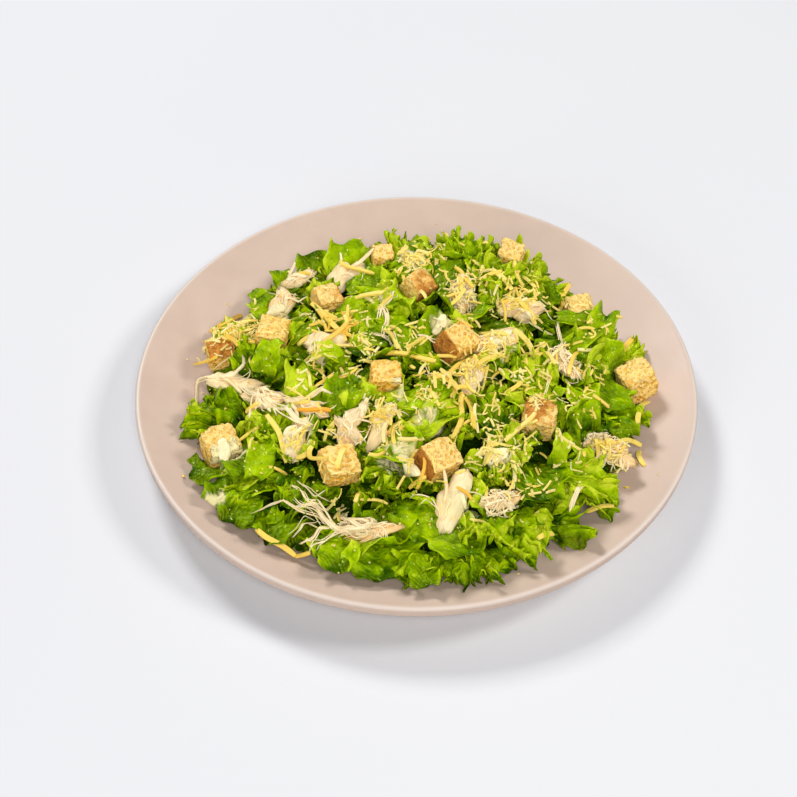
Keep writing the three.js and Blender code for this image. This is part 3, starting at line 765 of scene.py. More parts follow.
def placed(points, place, roll):
    """Rolls, lifts and turns what was made along +X, and sets it over the heap."""
    x, y, heading, lift, rise = place
    rolled = points @ np.array(Matrix.Rotation(math.radians(roll), 3, "X")).T
    turn = Matrix.Rotation(math.radians(heading), 3, "Z") @ Matrix.Rotation(math.radians(-lift), 3, "Y")
    return rolled @ np.array(turn).T + (x, y, heap_top(x, y) + rise)


def add_leaf(piece, kind, place, length, width, tone, seed, frill=1.0, roll=0.0, pressed=True):
    """One leaf. Painted light makes what stands out paler, and painted shade makes its folds and what lies
    deep in the heap darker. A frilled leaf's edge and a torn one's base are paler too.
    """
    shape, rows, columns = LEAF_KINDS[kind]
    source = random_from(seed)
    phases = [2 * math.pi * next(source) for _ in range(4)]
    outward = np.linspace(0, 1, rows)
    if shape is curly_shape:
        outward = 1 - (1 - outward) ** 1.35  # rows lie closer together near the frilled edge
    v, u = np.meshgrid(outward, np.linspace(-1, 1, columns), indexing="ij")
    points, vein = shape(u, v, length, width, phases, frill)
    apart, high = BLISTERS[shape]
    key = points * (1, 1, 0.4) + seed * 13.7
    blister = high * (0.6 - pit_distance(key, apart, seed) ** 2) + 0.2 * noise(key, 1.9, seed + 1)
    points[..., 2] += blister * (1 - 0.8 * vein)
    for size, depth in CRUMPLES[shape]:
        points = warp(points, key, size, depth * (0.5 + 0.5 * v[..., None]), seed + 3)
    ridge = np.clip(relief(points[..., 2]), -1.2, 1.2)
    points = placed(points, place, roll)
    if pressed:
        points = press(points)
    ground = plate_top(level_distance(points)) + LEAF_GAP + LEAF_THICKNESS / 2
    points[..., 2] = np.maximum(points[..., 2], ground + 0.25 * np.abs(noise(points, 5, seed)))
    solid, faces = sheet_solid(points, LEAF_THICKNESS * (0.8 + 0.9 * vein))
    # Painted light and shade: what stands out above its surroundings is paler, and what lies in a fold is
    # darker.
    light = 0.2 * ridge + (0.26 * v - 0.12 if shape is curly_shape else 0.14 - 0.24 * v)
    # Painted shade: what lies deep in the heap is darker.
    depth = heap_top(*solid[:, :2].T) + LEAF_RISE - solid[:, 2]
    shade = tone + np.tile(light.ravel(), 2) - 0.06 * np.clip(depth, -2, 7)
    under = np.repeat([0.0, 1.0], vein.size)
    piece.add(solid, faces, tone=shade, vein=np.tile(vein.ravel(), 2), under=under, cream=dressed(solid))


def make_leaves():
    """The leaves that the photograph shows, in two pieces of each kind."""
    pieces = {kind: [Piece(*FOOD), Piece(*FOOD)] for kind in ("curly", "flat")}
    leaves = [("curly", *leaf, LEAF_RISE) for leaf in CURLY_LEAVES]
    leaves += [("flat", *leaf, LEAF_RISE) for leaf in FLAT_LEAVES]
    leaves += [("flat", *leaf) for leaf in OVER_LEAVES]
    for seed, (kind, px, py, heading, lift, length, width, tone, rise) in enumerate(leaves):
        x, y, _ = over_heap(px, py, rise)
        place, over_topping = (x, y, heading, lift, rise), rise > LEAF_RISE
        add_leaf(pieces[kind][seed % 2], kind, place, length, width, tone, seed, pressed=not over_topping)
    return pieces


def make_small_leaves():
    """Torn bits between the large leaves, all over the heap, pointing outwards at its edge."""
    pieces = {"curly": [Piece(*FOOD), Piece(*FOOD)], "flat": [Piece(*FOOD)]}
    rng = np.random.default_rng(11)
    for i in range(SMALL_LEAVES):
        share = math.sqrt((i + 0.5) / SMALL_LEAVES)
        angle = i * GOLDEN_TURN + rng.uniform(-0.3, 0.3)
        x, y = heap_place(angle, share * (heap_radius(angle) - 6))
        at_edge = share > 0.87
        heading = math.degrees(angle) + rng.normal(0, 35) if at_edge else rng.uniform(0, 360)
        lift = rng.uniform(-8, 14) if at_edge else rng.uniform(-20, 55)
        roll = rng.normal(0, 8 if at_edge else 26)
        kind = "curly" if rng.random() < 0.6 else "flat"
        length, width = rng.uniform(*SMALL_LENGTH), rng.uniform(*SMALL_WIDTH)
        tone = near(rng, 0.55, 0.22, 0.1, 0.98)
        rise = rng.uniform(-5, -1) if at_edge else rng.uniform(-5.5, 4.2)
        place = (x, y, heading, lift, rise)
        piece = pieces[kind][i % len(pieces[kind])]
        add_leaf(piece, "small_" + kind, place, length, width, tone, SMALL_SEED + i, SMALL_FRILL, roll)
    return pieces


# Rows of leaves that hang down the heap's flank, where the photograph doesn't show it: each row's share of
# the heap's radius, how many leaves it has, their lift in degrees and their rise.
EDGE_ROWS = [(0.79, 20, -12, -4.5), (0.87, 24, -22, -5.5), (0.935, 27, -28, -5.0)]
EDGE_FROM, EDGE_TO = -22, 205  # the stretch of the outline that they cover, in degrees round from +X


def make_edge_leaves(pieces):
    """Leaves round the back and sides of the heap, down to the plate."""
    rng = np.random.default_rng(31)
    seeds = itertools.count(EDGE_SEED)
    for share, count, lift, rise in EDGE_ROWS:
        for angle in np.radians(np.linspace(EDGE_FROM, EDGE_TO, count)):
            angle = angle + rng.normal(0, 0.03)
            x, y = heap_place(angle, share * heap_radius(angle) + rng.uniform(-1.5, 1.5))
            kind = "small_curly" if rng.random() < 0.65 else "small_flat"
            heading = math.degrees(angle) + rng.normal(0, 22)
            place = (x, y, heading, lift + rng.normal(0, 7), rise + rng.uniform(-1, 1))
            length, width = rng.uniform(*EDGE_LENGTH), rng.uniform(*EDGE_WIDTH)
            tone = near(rng, 0.5, 0.17, 0.15, 0.9)
            seed = next(seeds)
            roll = rng.normal(0, 8)
            add_leaf(pieces[seed % 2], kind, place, length, width, tone, seed, EDGE_FRILL, roll)


# ---- Dressing on what it lies on ----

# Where thin dressing wets the food: the pixel of its middle in the photograph, and its reach in mm.
WET_PIXELS = [
    (276, 316, 8), (230, 455, 9), (402, 458, 10), (430, 416, 9), (345, 506, 5), (457, 500, 9),
    (495, 456, 7), (297, 440, 8), (500, 342, 10), (466, 300, 6), (384, 300, 6), (325, 345, 8),
    (540, 420, 6), (440, 326, 6), (410, 262, 7), (214, 500, 7), (478, 372, 6), (515, 302, 6),
    (400, 392, 5),
]
WET_PLACES = [(*over_heap(px, py, LEAF_RISE), reach) for px, py, reach in WET_PIXELS]


def dressed(points):
    """How much dressing each point has on it."""
    amount = np.zeros(len(points))
    for place in WET_PLACES:
        distance = np.linalg.norm((points - place[:3]) * (1, 1, 0.6), axis=1) / place[3]
        close = distance < 1.3
        if close.any():
            uneven = 0.6 * noise(points[close], 4.2, 77) + 0.25 * noise(points[close], 1.8, 78)
            amount[close] = np.maximum(amount[close], 1 - distance[close] + uneven)
    return smooth_step(amount, 0.24, 0.4)


# ---- Croutons ----

CROUTON_VOXEL = 0.6
PORE_SPACING, PORE_DEPTH = 2.0, 0.8
# The brown crust on some croutons: their number, and the way that the crust faces.
CRUSTS = {
    3: (0.75, -0.6, 0.25), 5: (0.4, -0.5, -0.75), 8: (-0.1, -0.55, 0.8), 9: (-0.8, -0.55, 0.25),
    13: (-0.75, -0.65, 0.1), 14: (-0.3, 0.5, 0.8), 2: (0.95, 0.1, 0.2),
}


def fine_croutons(material):
    """The croutons' solids remeshed finely: the points, their normals and the faces."""
    together = Piece()
    for mesh in (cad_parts[name].data for name in CROUTON_NODES):
        together.add(mesh_points(mesh), [[face.vertices[:]] for face in mesh.polygons])
    block = together.make("crouton_blocks", material)
    merge = block.modifiers.new("merge", "WELD")
    merge.merge_threshold = 0.01 * MM
    fine = block.modifiers.new("fine", "REMESH")
    fine.mode = "VOXEL"
    fine.voxel_size = CROUTON_VOXEL * MM
    fine.use_smooth_shade = True
    evaluated = block.evaluated_get(bpy.context.evaluated_depsgraph_get())
    mesh = bpy.data.meshes.new_from_object(evaluated)
    bpy.data.objects.remove(block)
    points, normals = mesh_points(mesh), np.array([v.normal for v in mesh.vertices])
    faces = [[face.vertices[:] for face in mesh.polygons]]
    bpy.data.meshes.remove(mesh)
    return points, normals, faces


def make_croutons(material):
    """The croutons, with pores, crust, the unevenness of torn bread, and painted shade on their sides and in
    their pits.
    """
    points, normals, faces = fine_croutons(material)
    middles = np.array([TOPPINGS[name][0] for name in CROUTON_NODES])
    which = np.argmin(np.linalg.norm(points[:, None] - middles[None], axis=2), axis=1)
    crust = np.zeros(len(points))
    for number, facing in CRUSTS.items():
        facing = np.array(facing) / np.linalg.norm(facing)
        mine = which == number - 1
        toward = normals @ facing + 0.16 * noise(points, 3, number)
        crust[mine] = smooth_step(toward[mine], 0.42, 0.8)
    depth = PORE_DEPTH * (1 - smooth_step(pit_distance(points, PORE_SPACING, 3), 0.2, 0.55))
    depth *= 1 - 0.85 * crust
    swell = 0.1 + 0.45 * noise(points, 4.5, 8) + 0.35 * noise(points, 2.2, 12)
    half = np.array([TOPPINGS[name][2].mean() for name in CROUTON_NODES])[which]
    out = np.linalg.norm(points - middles[which], axis=1) / half
    light = np.array([hashed(np.array([n, 0, 0]), 5) for n in range(len(CROUTON_NODES))])[which]
    # Painted shade: the sides and undersides, and the pits by their depth, are more toasted, so darker, than
    # the tops.
    sides = 0.2 * (1 - normals[:, 2])
    toast = 0.3 * light + 0.2 * smooth_step(out, 1.1, 1.45) + sides + 0.4 * depth + 0.4 * crust - 0.24
    points = points + normals * (swell - depth)[:, None]
    piece = Piece("toast", "crust", "cream")
    piece.add(points, faces, toast=toast, crust=crust, cream=dressed(points))
    return finish(piece.make("croutons", material), "crouton", *CROUTON_NODES)


# ---- Chicken ----

# How much of a piece each of its one, two or three chunks fills, and how much smaller a tuft's are.
CHUNK_SHARES = {1: (0.95, 1.0, 0.95), 2: (0.74, 0.8, 0.85), 3: (0.68, 0.66, 0.72)}
TUFT_SHARES = (0.85, 0.65, 0.6)
CHUNK_POINTS = 24  # along a chunk, and round it
STRANDS, SLAB_STRANDS, TUFT_STRANDS = 12, 5, 60  # torn from each piece
TUFT_LENGTH = (5, 14)  # of a strand in a tuft, at least and at most
FINE_HALF, TUFT_HALF, THICK_HALF = (0.2, 0.38), (0.45, 0.9), (0.45, 1.3)  # half a strand's width


def add_chicken_lumps(piece, name):
    """The chunks that make up a piece of pulled meat, with fibres along them and torn ends."""
    middle, axes, half = TOPPINGS[name]
    seed = int(name[-2:])
    rng = np.random.default_rng(300 + seed)
    chunks = 1 if name in WHOLE_SLABS else 2 if name in SLABS else 3
    size = np.array(CHUNK_SHARES[chunks]) * (TUFT_SHARES if name in TUFTS else 1)
    # A tuft's chunks are a deeper tan: painted shade under its strands.
    stringy, tan = 0.45 if name in SLABS else 1.0, 0.4 if name in TUFTS else 0.17
    for i in range(chunks):
        spread = np.array([i - (chunks - 1) / 2, rng.uniform(-0.8, 0.8), rng.uniform(-0.5, 0.4)])
        middle_of_chunk = middle + (0.38 * spread * (chunks > 1) * half) @ axes
        turn = np.array(Matrix.Rotation(rng.normal(0, 0.35) * (chunks > 1), 3, "Z"))
        reach = half * size * rng.uniform(0.85, 1.1, 3)
        add_chunk(piece, middle_of_chunk, turn @ axes, reach, seed + 40 * i, stringy, tan)


def add_chunk(piece, middle, axes, half, seed, stringy, tan):
    """A long lump of meat, wrung along its grain."""
    along = np.linspace(-1, 1, CHUNK_POINTS)[:, None]
    angle = around(CHUNK_POINTS)[None]
    across = np.cos(angle) + 0 * along
    upward = np.sin(angle) + 0 * along
    taper = np.sqrt(np.maximum(0.0, 1 - np.abs(along) ** 3)) * 0.93 + 0.07
    local = np.stack([along * half[0] + 0 * angle, across * half[1], upward * half[2]], axis=-1)
    key = local + seed * 31.0
    fibres = stringy * (0.5 * noise(key, (12, 2.2, 2.2), seed) + 0.35 * noise(key, (8, 1.1, 1.1), seed + 3))
    ends = np.stack([across, upward, 0 * across], axis=-1) * 3
    torn = 1 + 0.3 * stringy * np.abs(along) ** 4 * noise(ends, 1, seed + 2)
    reach = taper * (1.0 + 0.28 * fibres + 0.25 * noise(key, (5, 4, 4), seed + 1))
    local *= np.stack([torn, reach, reach], axis=-1)
    local = warp(local, key, 6, 1.3, seed + 5)
    points = local @ axes + middle
    points[..., 2] = np.maximum(points[..., 2], plate_top(level_distance(points)) + 0.5)
    solid, faces = loft(points)
    tone = tan + 0.28 * noise(solid, 6, seed) + 0.22 * (hashed(np.array([seed, 1, 2]), 9) - 0.5)
    along_grain = ((solid - middle) @ axes.T + seed * 31.0) / (5, 0.8, 0.8)
    grain_place = {"grain_" + axis: along_grain[:, i] for i, axis in enumerate("xyz")}
    piece.add(solid, faces, tone=tone, fibre=stringy, cream=dressed(solid), **grain_place)


def add_strand(piece, ground, path, half_width, half_height, tone):
    """A strand of meat laid on what is below it, thin at both ends."""
    ends = np.sqrt(np.clip(1 - np.linspace(-1, 1, len(path)) ** 4, 0.03, 1))
    path = ground.drape(path, half_height * 0.6, stiffness=6)
    solid = tube(path, half_width * ends, half_height * ends)
    ground.lay(piece, solid, tone=tone, cream=dressed(solid[0]))


def add_chicken_strands(piece, name, ground):
    """Strands torn along the meat's grain, and fine loose ones. A tuft's run every way inside it."""
    middle, axes, half = TOPPINGS[name]
    rng = np.random.default_rng(100 + int(name[-2:]))
    tuft = name in TUFTS
    grain_heading = math.atan2(axes[0][1], axes[0][0])
    for i in range(TUFT_STRANDS if tuft else SLAB_STRANDS if name in SLABS else STRANDS):
        fine = i % 3 != 0
        start = middle + (np.array([rng.uniform(-1.0, 0.4), rng.uniform(-0.8, 0.8), 0]) * half) @ axes
        heading = grain_heading + rng.normal(0, 1.3 if tuft else 0.3)
        length = rng.uniform(*TUFT_LENGTH) if tuft else half[0] * rng.uniform(0.5, 1.5)
        bend, curl = rng.normal(0, 0.08), rng.normal(0, 0.5 if tuft else 0.25)
        steps = np.linspace(0, length, 12)
        turn = heading + bend * steps + curl * np.sin(steps * rng.uniform(0.5, 1.1) + rng.uniform(0, 6))
        moved = np.cumsum(np.stack([np.cos(turn), np.sin(turn), 0 * turn], axis=-1), axis=0) * length / 12
        if tuft:
            across = (start + moved - middle) @ axes.T
            out = np.hypot(across[:, 0] / half[0], across[:, 1] / half[1])
            kept = np.where(out > 1, np.maximum(2 - out, 0.2) / np.maximum(out, 1), 1)
            moved = middle + (across * kept[:, None]) @ axes - start
        wide = rng.uniform(*(FINE_HALF if fine else TUFT_HALF if tuft else THICK_HALF))
        high = wide * (1 if fine else rng.uniform(0.45, 0.75))
        add_strand(piece, ground, start + moved, wide, high, rng.uniform(-0.2, 0.2))


# Long pale strands that the photograph shows: the pixels that each passes, and its width in mm.
SEEN_STRANDS = [
    ([(257, 514), (270, 517), (284, 513), (301, 513), (318, 521), (330, 530)], 1.0),
    ([(300, 512), (322, 516), (334, 526), (345, 535), (362, 537), (376, 531)], 1.8),
    ([(336, 516), (350, 522), (362, 530), (378, 526)], 1.5),
    ([(330, 530), (318, 534), (308, 542), (300, 552)], 1.0),
    ([(318, 524), (306, 530), (298, 538), (290, 541)], 0.9),
    ([(345, 533), (330, 538), (318, 545), (312, 553)], 1.0),
    ([(292, 488), (303, 494), (308, 503), (322, 508)], 0.8),
    ([(300, 483), (310, 490), (318, 500), (330, 506)], 0.7),
    ([(296, 500), (306, 506), (316, 505), (326, 512)], 0.7),
    ([(569, 518), (572, 505), (577, 494), (581, 486)], 1.3),
    ([(244, 390), (256, 396), (266, 408), (271, 414)], 2.0),
    ([(258, 390), (262, 400), (254, 410), (250, 415)], 1.8),
    ([(272, 404), (286, 412), (300, 424), (311, 427)], 2.0),
    ([(364, 426), (362, 414), (365, 404), (368, 399)], 2.0),
    ([(194, 402), (200, 390), (212, 378), (226, 371)], 1.5),
    ([(380, 318), (383, 305), (392, 301), (396, 295)], 1.2),
    ([(383, 335), (388, 322), (386, 312), (380, 304)], 1.4),
    ([(372, 333), (382, 338), (390, 347), (398, 352)], 0.9),
    ([(418, 336), (428, 338), (437, 342)], 1.0),
    ([(422, 372), (434, 378), (444, 374), (452, 378)], 0.7),
    ([(556, 333), (562, 345), (560, 358), (568, 370)], 0.9),
    ([(566, 338), (560, 350), (568, 362), (576, 372)], 0.8),
    ([(545, 395), (549, 382), (547, 372)], 1.0),
]


def add_seen_strands(piece, ground):
    """Each strand that the photograph shows, with finer ones torn from it on both sides."""
    rng = np.random.default_rng(21)
    for pixels, width in SEEN_STRANDS:
        ends = np.array([ground.seen(px, py) for px, py in pixels])
        share = np.linspace(0, len(ends) - 1, 5 * len(ends))
        path = np.stack([np.interp(share, np.arange(len(ends)), ends[:, axis]) for axis in range(3)], axis=-1)
        path[1:-1] = (path[:-2] + path[1:-1] + path[2:]) / 3
        run = path[-1] - path[0]
        aside = np.array([-run[1], run[0], 0]) / np.linalg.norm(run)
        for away, part in ((0.0, 1.15), (0.55, 0.6), (-0.6, 0.5)):
            beside = path + aside * away * width * rng.uniform(0.7, 1.6) + run * rng.uniform(-0.12, 0.12)
            add_strand(piece, ground, beside, part * width / 2, part * width * 0.3, rng.uniform(-0.1, 0.15))


def make_chicken(material, below):
    """The pulled meat, and the height of all that lies on the plate with it."""
    meat = Piece("tone", "fibre", "cream", "grain_x", "grain_y", "grain_z")
    for name in CHICKEN_NODES:
        add_chicken_lumps(meat, name)
    lumps = meat.make("chicken_lumps", material)
    ground = Ground([*below, lumps])
    bpy.data.objects.remove(lumps)
    for name in CHICKEN_NODES:
        add_chicken_strands(meat, name, ground)
    add_seen_strands(meat, ground)
    finish(meat.make("pulled_chicken", material), "chicken", *CHICKEN_NODES)
    return ground


# ---- What lies on the plate ----

GROUND_CELL = 0.6
GROUND_REACH = HEAP_RADIUS + 26
ABOVE_ALL = 90
STEEPEST_DRAPE = 0.9  # fall over run, past which a strand stands off what is below it


class Ground:
    """The height of what lies on the plate so far, on a fine grid, to lay more on top of it."""

    def __init__(self, pieces):
        graph = bpy.context.evaluated_depsgraph_get()
        self.trees = [BVHTree.FromObject(piece, graph) for piece in pieces]
        self.count = int(PLATE_RADIUS / GROUND_CELL)
        side = np.arange(-self.count, self.count + 1) * GROUND_CELL
        x, y = np.meshgrid(side, side, indexing="ij")
        self.levels = plate_top(np.hypot(x, y))
        down = Vector((0, 0, -1))
        for i, j in np.argwhere(np.hypot(x - HEAP_CENTRE[0], y - HEAP_CENTRE[1]) < GROUND_REACH):
            above = Vector((side[i] * MM, side[j] * MM, ABOVE_ALL * MM))
            hits = [tree.ray_cast(above, down)[0] for tree in self.trees]
            self.levels[i, j] = max([self.levels[i, j], *(hit.z / MM for hit in hits if hit)])

    def cell(self, x, y):
        at = np.rint(np.stack([x, y]) / GROUND_CELL).astype(int) + self.count
        return tuple(np.clip(at, 0, 2 * self.count))

    def height(self, x, y):
        return self.levels[self.cell(x, y)]

    def lay(self, piece, solid, **values):
        """Adds a solid to a piece, and notes that it lies here."""
        piece.add(*solid, **values)
        self.cover(solid[0])

    def cover(self, points):
        """Notes that something has been laid here."""
        np.maximum.at(self.levels, self.cell(*points[:, :2].T), points[:, 2])

    def seen(self, px, py):
        """The place that the photograph shows at a pixel."""
        return seen_place(px, py, step=0.3, height=self.height)

    def drape(self, path, radius, stiffness):
        """Lowers or lifts a path onto what is below it. The stiffer, the less it follows each hollow."""
        path = np.array(path, float)
        z = self.height(*path[:, :2].T)
        for _ in range(stiffness):
            z[1:-1] = np.maximum(z[1:-1], (z[:-2] + z[2:]) / 2)
        steps = STEEPEST_DRAPE * np.linalg.norm(np.diff(path[:, :2], axis=0), axis=1)
        for i in range(1, len(z)):
            z[i] = max(z[i], z[i - 1] - steps[i - 1])
        for i in range(len(z) - 1, 0, -1):
            z[i - 1] = max(z[i - 1], z[i] - steps[i - 1])
        path[:, 2] = z + radius
        return path

    def rest(self, path, radius, bury=0.8):
        """Lays a stiff path on what is below it, which may stand above the path where it is highest."""
        path = np.array(path, float)
        below = self.height(*path[:, :2].T)
        share = np.linspace(-1, 1, len(path))
        run = np.linalg.norm(path[-1, :2] - path[0, :2])
        slope = np.clip(np.polyfit(share, below, 1)[0], -0.35 * run, 0.35 * run)
        path[:, 2] = slope * share + np.quantile(below - slope * share, bury) + radius
        path[:, 2] = np.maximum(path[:, 2], plate_top(level_distance(path)) + radius)
        return path


# ---- Grated cheese ----

LOOSE_SHREDS, SLIVERS, SLIVERS_TOGETHER, CRUMBS, PLATE_CRUMBS = 170, 1120, 12, 520, 90
# Their sizes, at least and at most.
SEEN_WIDTH, LOOSE_WIDTH, SLIVER_WIDTH = (2.0, 2.6), (0.9, 2.0), (0.45, 1.15)
LOOSE_LENGTH, SLIVER_LENGTH = (5, 13), (1.5, 6.5)
CRUMB_SIZE, PLATE_CRUMB_SIZE = (0.35, 1.1), (0.3, 0.9)
SEEN_THICKNESS = 1.2
# Sticks of cheese that the photograph shows: the pixels of their ends, their bend, and how deep their
# yellow is.
SEEN_SHREDS = [
    (372, 355, 436, 363, 0.03, 0.6), (297, 413, 331, 417, 0.02, 0.95), (220, 329, 242, 316, 0.02, 0.8),
    (210, 335, 238, 347, 0.03, 0.7), (196, 374, 218, 360, -0.1, 0.65), (311, 318, 345, 342, 0.05, 0.6),
    (318, 343, 352, 316, -0.04, 0.65), (330, 330, 360, 342, 0.06, 0.55), (445, 376, 478, 346, 0.03, 0.55),
    (437, 356, 456, 363, 0.0, 0.5), (477, 371, 503, 362, 0.05, 0.55), (514, 331, 532, 352, 0.25, 0.35),
    (528, 352, 545, 345, -0.2, 0.35), (492, 273, 512, 294, 0.03, 0.3), (520, 305, 535, 333, 0.04, 0.5),
    (434, 386, 458, 396, 0.3, 0.45), (452, 392, 470, 388, 0.3, 0.5), (454, 440, 462, 394, -0.04, 0.5),
    (462, 394, 474, 440, 0.06, 0.55), (504, 444, 535, 414, -0.05, 0.3), (268, 421, 287, 460, 0.05, 0.35),
    (297, 461, 312, 449, -0.25, 0.45), (310, 449, 328, 457, -0.3, 0.5), (623, 348, 632, 340, 0.05, 0.6),
    (638, 428, 648, 408, 0.1, 0.35), (256, 527, 296, 559, -0.03, 0.55), (296, 559, 311, 561, 0.0, 0.6),
    (587, 505, 614, 506, 0.02, 0.45), (537, 545, 551, 549, 0.0, 0.4), (355, 300, 392, 296, 0.1, 0.4),
    (560, 303, 568, 288, 0.0, 0.6), (455, 270, 472, 292, 0.03, 0.55), (340, 262, 375, 272, -0.1, 0.45),
    (618, 444, 640, 450, 0.15, 0.4), (640, 449, 645, 466, -0.15, 0.4), (338, 470, 346, 450, 0.1, 0.4),
    (570, 378, 580, 350, 0.1, 0.55), (505, 395, 522, 382, 0.0, 0.5), (298, 350, 312, 336, 0.1, 0.4),
    (388, 436, 402, 420, 0.1, 0.3), (384, 330, 398, 352, 0.1, 0.3),
]
# Where the photograph shows grated cheese lying thickly: the pixel of the middle, and its reach in mm.
CHEESE_DRIFTS = [
    (338, 325, 9), (415, 262, 8), (405, 345, 9), (322, 384, 10), (462, 378, 10), (438, 390, 7),
    (500, 345, 9), (556, 360, 11), (455, 295, 8), (518, 300, 8), (535, 405, 9), (298, 445, 7),
    (245, 325, 8), (350, 352, 8), (482, 450, 7), (390, 420, 9), (215, 350, 6), (605, 450, 5),
]


def anywhere(rng, inset):
    """A place on the heap, evenly chosen, and further from its edge than an inset."""
    angle = rng.uniform(0, 2 * math.pi)
    return heap_place(angle, math.sqrt(rng.uniform(0, 1)) * (heap_radius(angle) - inset))


def cheese_place(rng, loose):
    """A place on the heap, in one of the drifts but for a loose share."""
    if rng.random() < loose:
        return np.array(anywhere(rng, 9))
    px, py, reach = CHEESE_DRIFTS[rng.integers(len(CHEESE_DRIFTS))]
    return over_heap(px, py, LEAF_RISE)[:2] + rng.normal(0, 0.6 * reach, 2)


def add_shred(piece, ground, start, end, width, tone, bend, rng, stations, thickness):
    """A stick of grated cheese from one place to another, laid on what is below it."""
    share = np.linspace(0, 1, stations)[:, None]
    start, end = np.array([*start[:2], 0.0]), np.array([*end[:2], 0.0])
    run = end - start
    side = np.array([-run[1], run[0], 0])
    path = start + share * run + side * bend * 4 * share * (1 - share)
    path += side * 0.02 * np.sin(share * 7 + rng.uniform(0, 6))
    path = ground.rest(path, thickness * 0.5)
    path[:, 2] -= rng.uniform(0, 0.9) * (2 * share[:, 0] - 1) ** 2
    taper = 0.75 + 0.25 * np.sqrt(np.clip(np.minimum(share, 1 - share)[:, 0] * 7, 0, 1))
    twist = rng.uniform(-0.5, 0.5) + rng.normal(0, 0.25) * share[:, 0]
    ground.lay(piece, tube(path, width / 2 * taper, thickness / 2 * taper, STICK, twist), tone=tone)


def add_slivers(piece, ground, rng):
    """Fine gratings, fallen in small clusters."""
    for i in range(SLIVERS):
        if i % SLIVERS_TOGETHER == 0:
            middle = np.append(cheese_place(rng, 0.35), 0)
            paleness = rng.uniform(0.08, 0.42)
        turn, length = rng.uniform(0, math.pi), rng.uniform(*SLIVER_LENGTH)
        width = rng.uniform(*SLIVER_WIDTH)
        share = np.linspace(-0.5, 0.5, 5)[:, None]
        run = np.array([math.cos(turn), math.sin(turn), 0]) * length
        side = np.array([-run[1], run[0], 0]) * rng.normal(0, 0.13)
        away = np.array([*rng.normal(0, 4.5, 2), 0])
        path = middle + away + share * run + side * (1 - 4 * share * share)
        path = ground.rest(path, width * 0.3, bury=0.7)
        sliver = tube(path, width / 2, width * 0.3, SLIVER, rng.uniform(-0.7, 0.7))
        ground.lay(piece, sliver, tone=near(rng, paleness, 0.08, 0, 0.7))


CRUMB_CORNERS = np.array(list(itertools.product((-1.0, 1.0), repeat=3)))
CRUMB_FACES = np.array([[0, 1, 3, 2], [4, 6, 7, 5], [0, 4, 5, 1], [2, 3, 7, 6], [0, 2, 6, 4], [1, 5, 7, 3]])


def add_crumb(piece, ground, x, y, size, tone, rng):
    corners = CRUMB_CORNERS * (1 + rng.uniform(-0.4, 0.4, (8, 3))) * size / 2 * rng.uniform(0.6, 1.2, 3)
    turn = np.array(Quaternion(rng.normal(0, 1, 4)).normalized().to_matrix())
    corners = corners @ turn.T
    z = float(ground.height(x, y)) - corners[:, 2].min() - 0.15 * size
    piece.add(corners + (x, y, z), [CRUMB_FACES], tone=tone)


def add_crumbs(piece, ground, rng):
    """Crumbs of bread and cheese on the salad, and a few on the plate close to it."""
    for _ in range(CRUMBS):
        x, y = anywhere(rng, 2)
        add_crumb(piece, ground, x, y, rng.uniform(*CRUMB_SIZE), rng.uniform(0, 0.5), rng)
    for _ in range(PLATE_CRUMBS):
        angle = rng.uniform(0, 2 * math.pi)
        x, y = heap_place(angle, heap_radius(angle) + 2 + 20 * rng.uniform(0, 1) ** 2.5)
        if math.hypot(x, y) < PLATE_RADIUS - 7:
            size = rng.uniform(*PLATE_CRUMB_SIZE)
            add_crumb(piece, ground, x, y, size, rng.uniform(0.1, 0.5), rng)


def make_cheese(ground, material):
    piece = Piece("tone")
    rng = np.random.default_rng(5)
    for x0, y0, x1, y1, bend, tone in SEEN_SHREDS:
        width = rng.uniform(*SEEN_WIDTH)
        ends = ground.seen(x0, y0), ground.seen(x1, y1)
        add_shred(piece, ground, *ends, width, tone, bend, rng, stations=12, thickness=SEEN_THICKNESS)
    for _ in range(LOOSE_SHREDS):
        middle = cheese_place(rng, 0.4)
        turn, length = rng.uniform(0, math.pi), rng.uniform(*LOOSE_LENGTH)
        reach = np.array([math.cos(turn), math.sin(turn)]) * length / 2
        tone = near(rng, 0.36, 0.18, 0.02, 0.85)
        width, bend = rng.uniform(*LOOSE_WIDTH), rng.normal(0, 0.06)
        ends = middle - reach, middle + reach
        add_shred(piece, ground, *ends, width, tone, bend, rng, stations=7, thickness=width * 0.6)
    add_slivers(piece, ground, rng)
    add_crumbs(piece, ground, rng)
    finish(piece.make("grated_cheese", material, smooth=False), "greens")


# ---- Thick dressing ----

# Blobs: the pixel of the middle, half length, half width, way that it runs and thickness, in mm and
# degrees. Their outlines wave as often and as far as their lobes say.
BLOBS = [
    (440, 326, 4.4, 2.8, 60, 0.9), (408, 462, 8.0, 3.4, -62, 0.6), (224, 452, 7.0, 3.0, -75, 0.7),
    (463, 492, 6.0, 2.2, -78, 0.7), (496, 456, 5.0, 4.0, 10, 1.2), (500, 338, 6.5, 3.6, 40, 1.2),
    (276, 308, 5.0, 2.4, 25, 0.6),
]
BLOB_LOBES = ((2, 0.18), (3, 0.12), (5, 0.06))


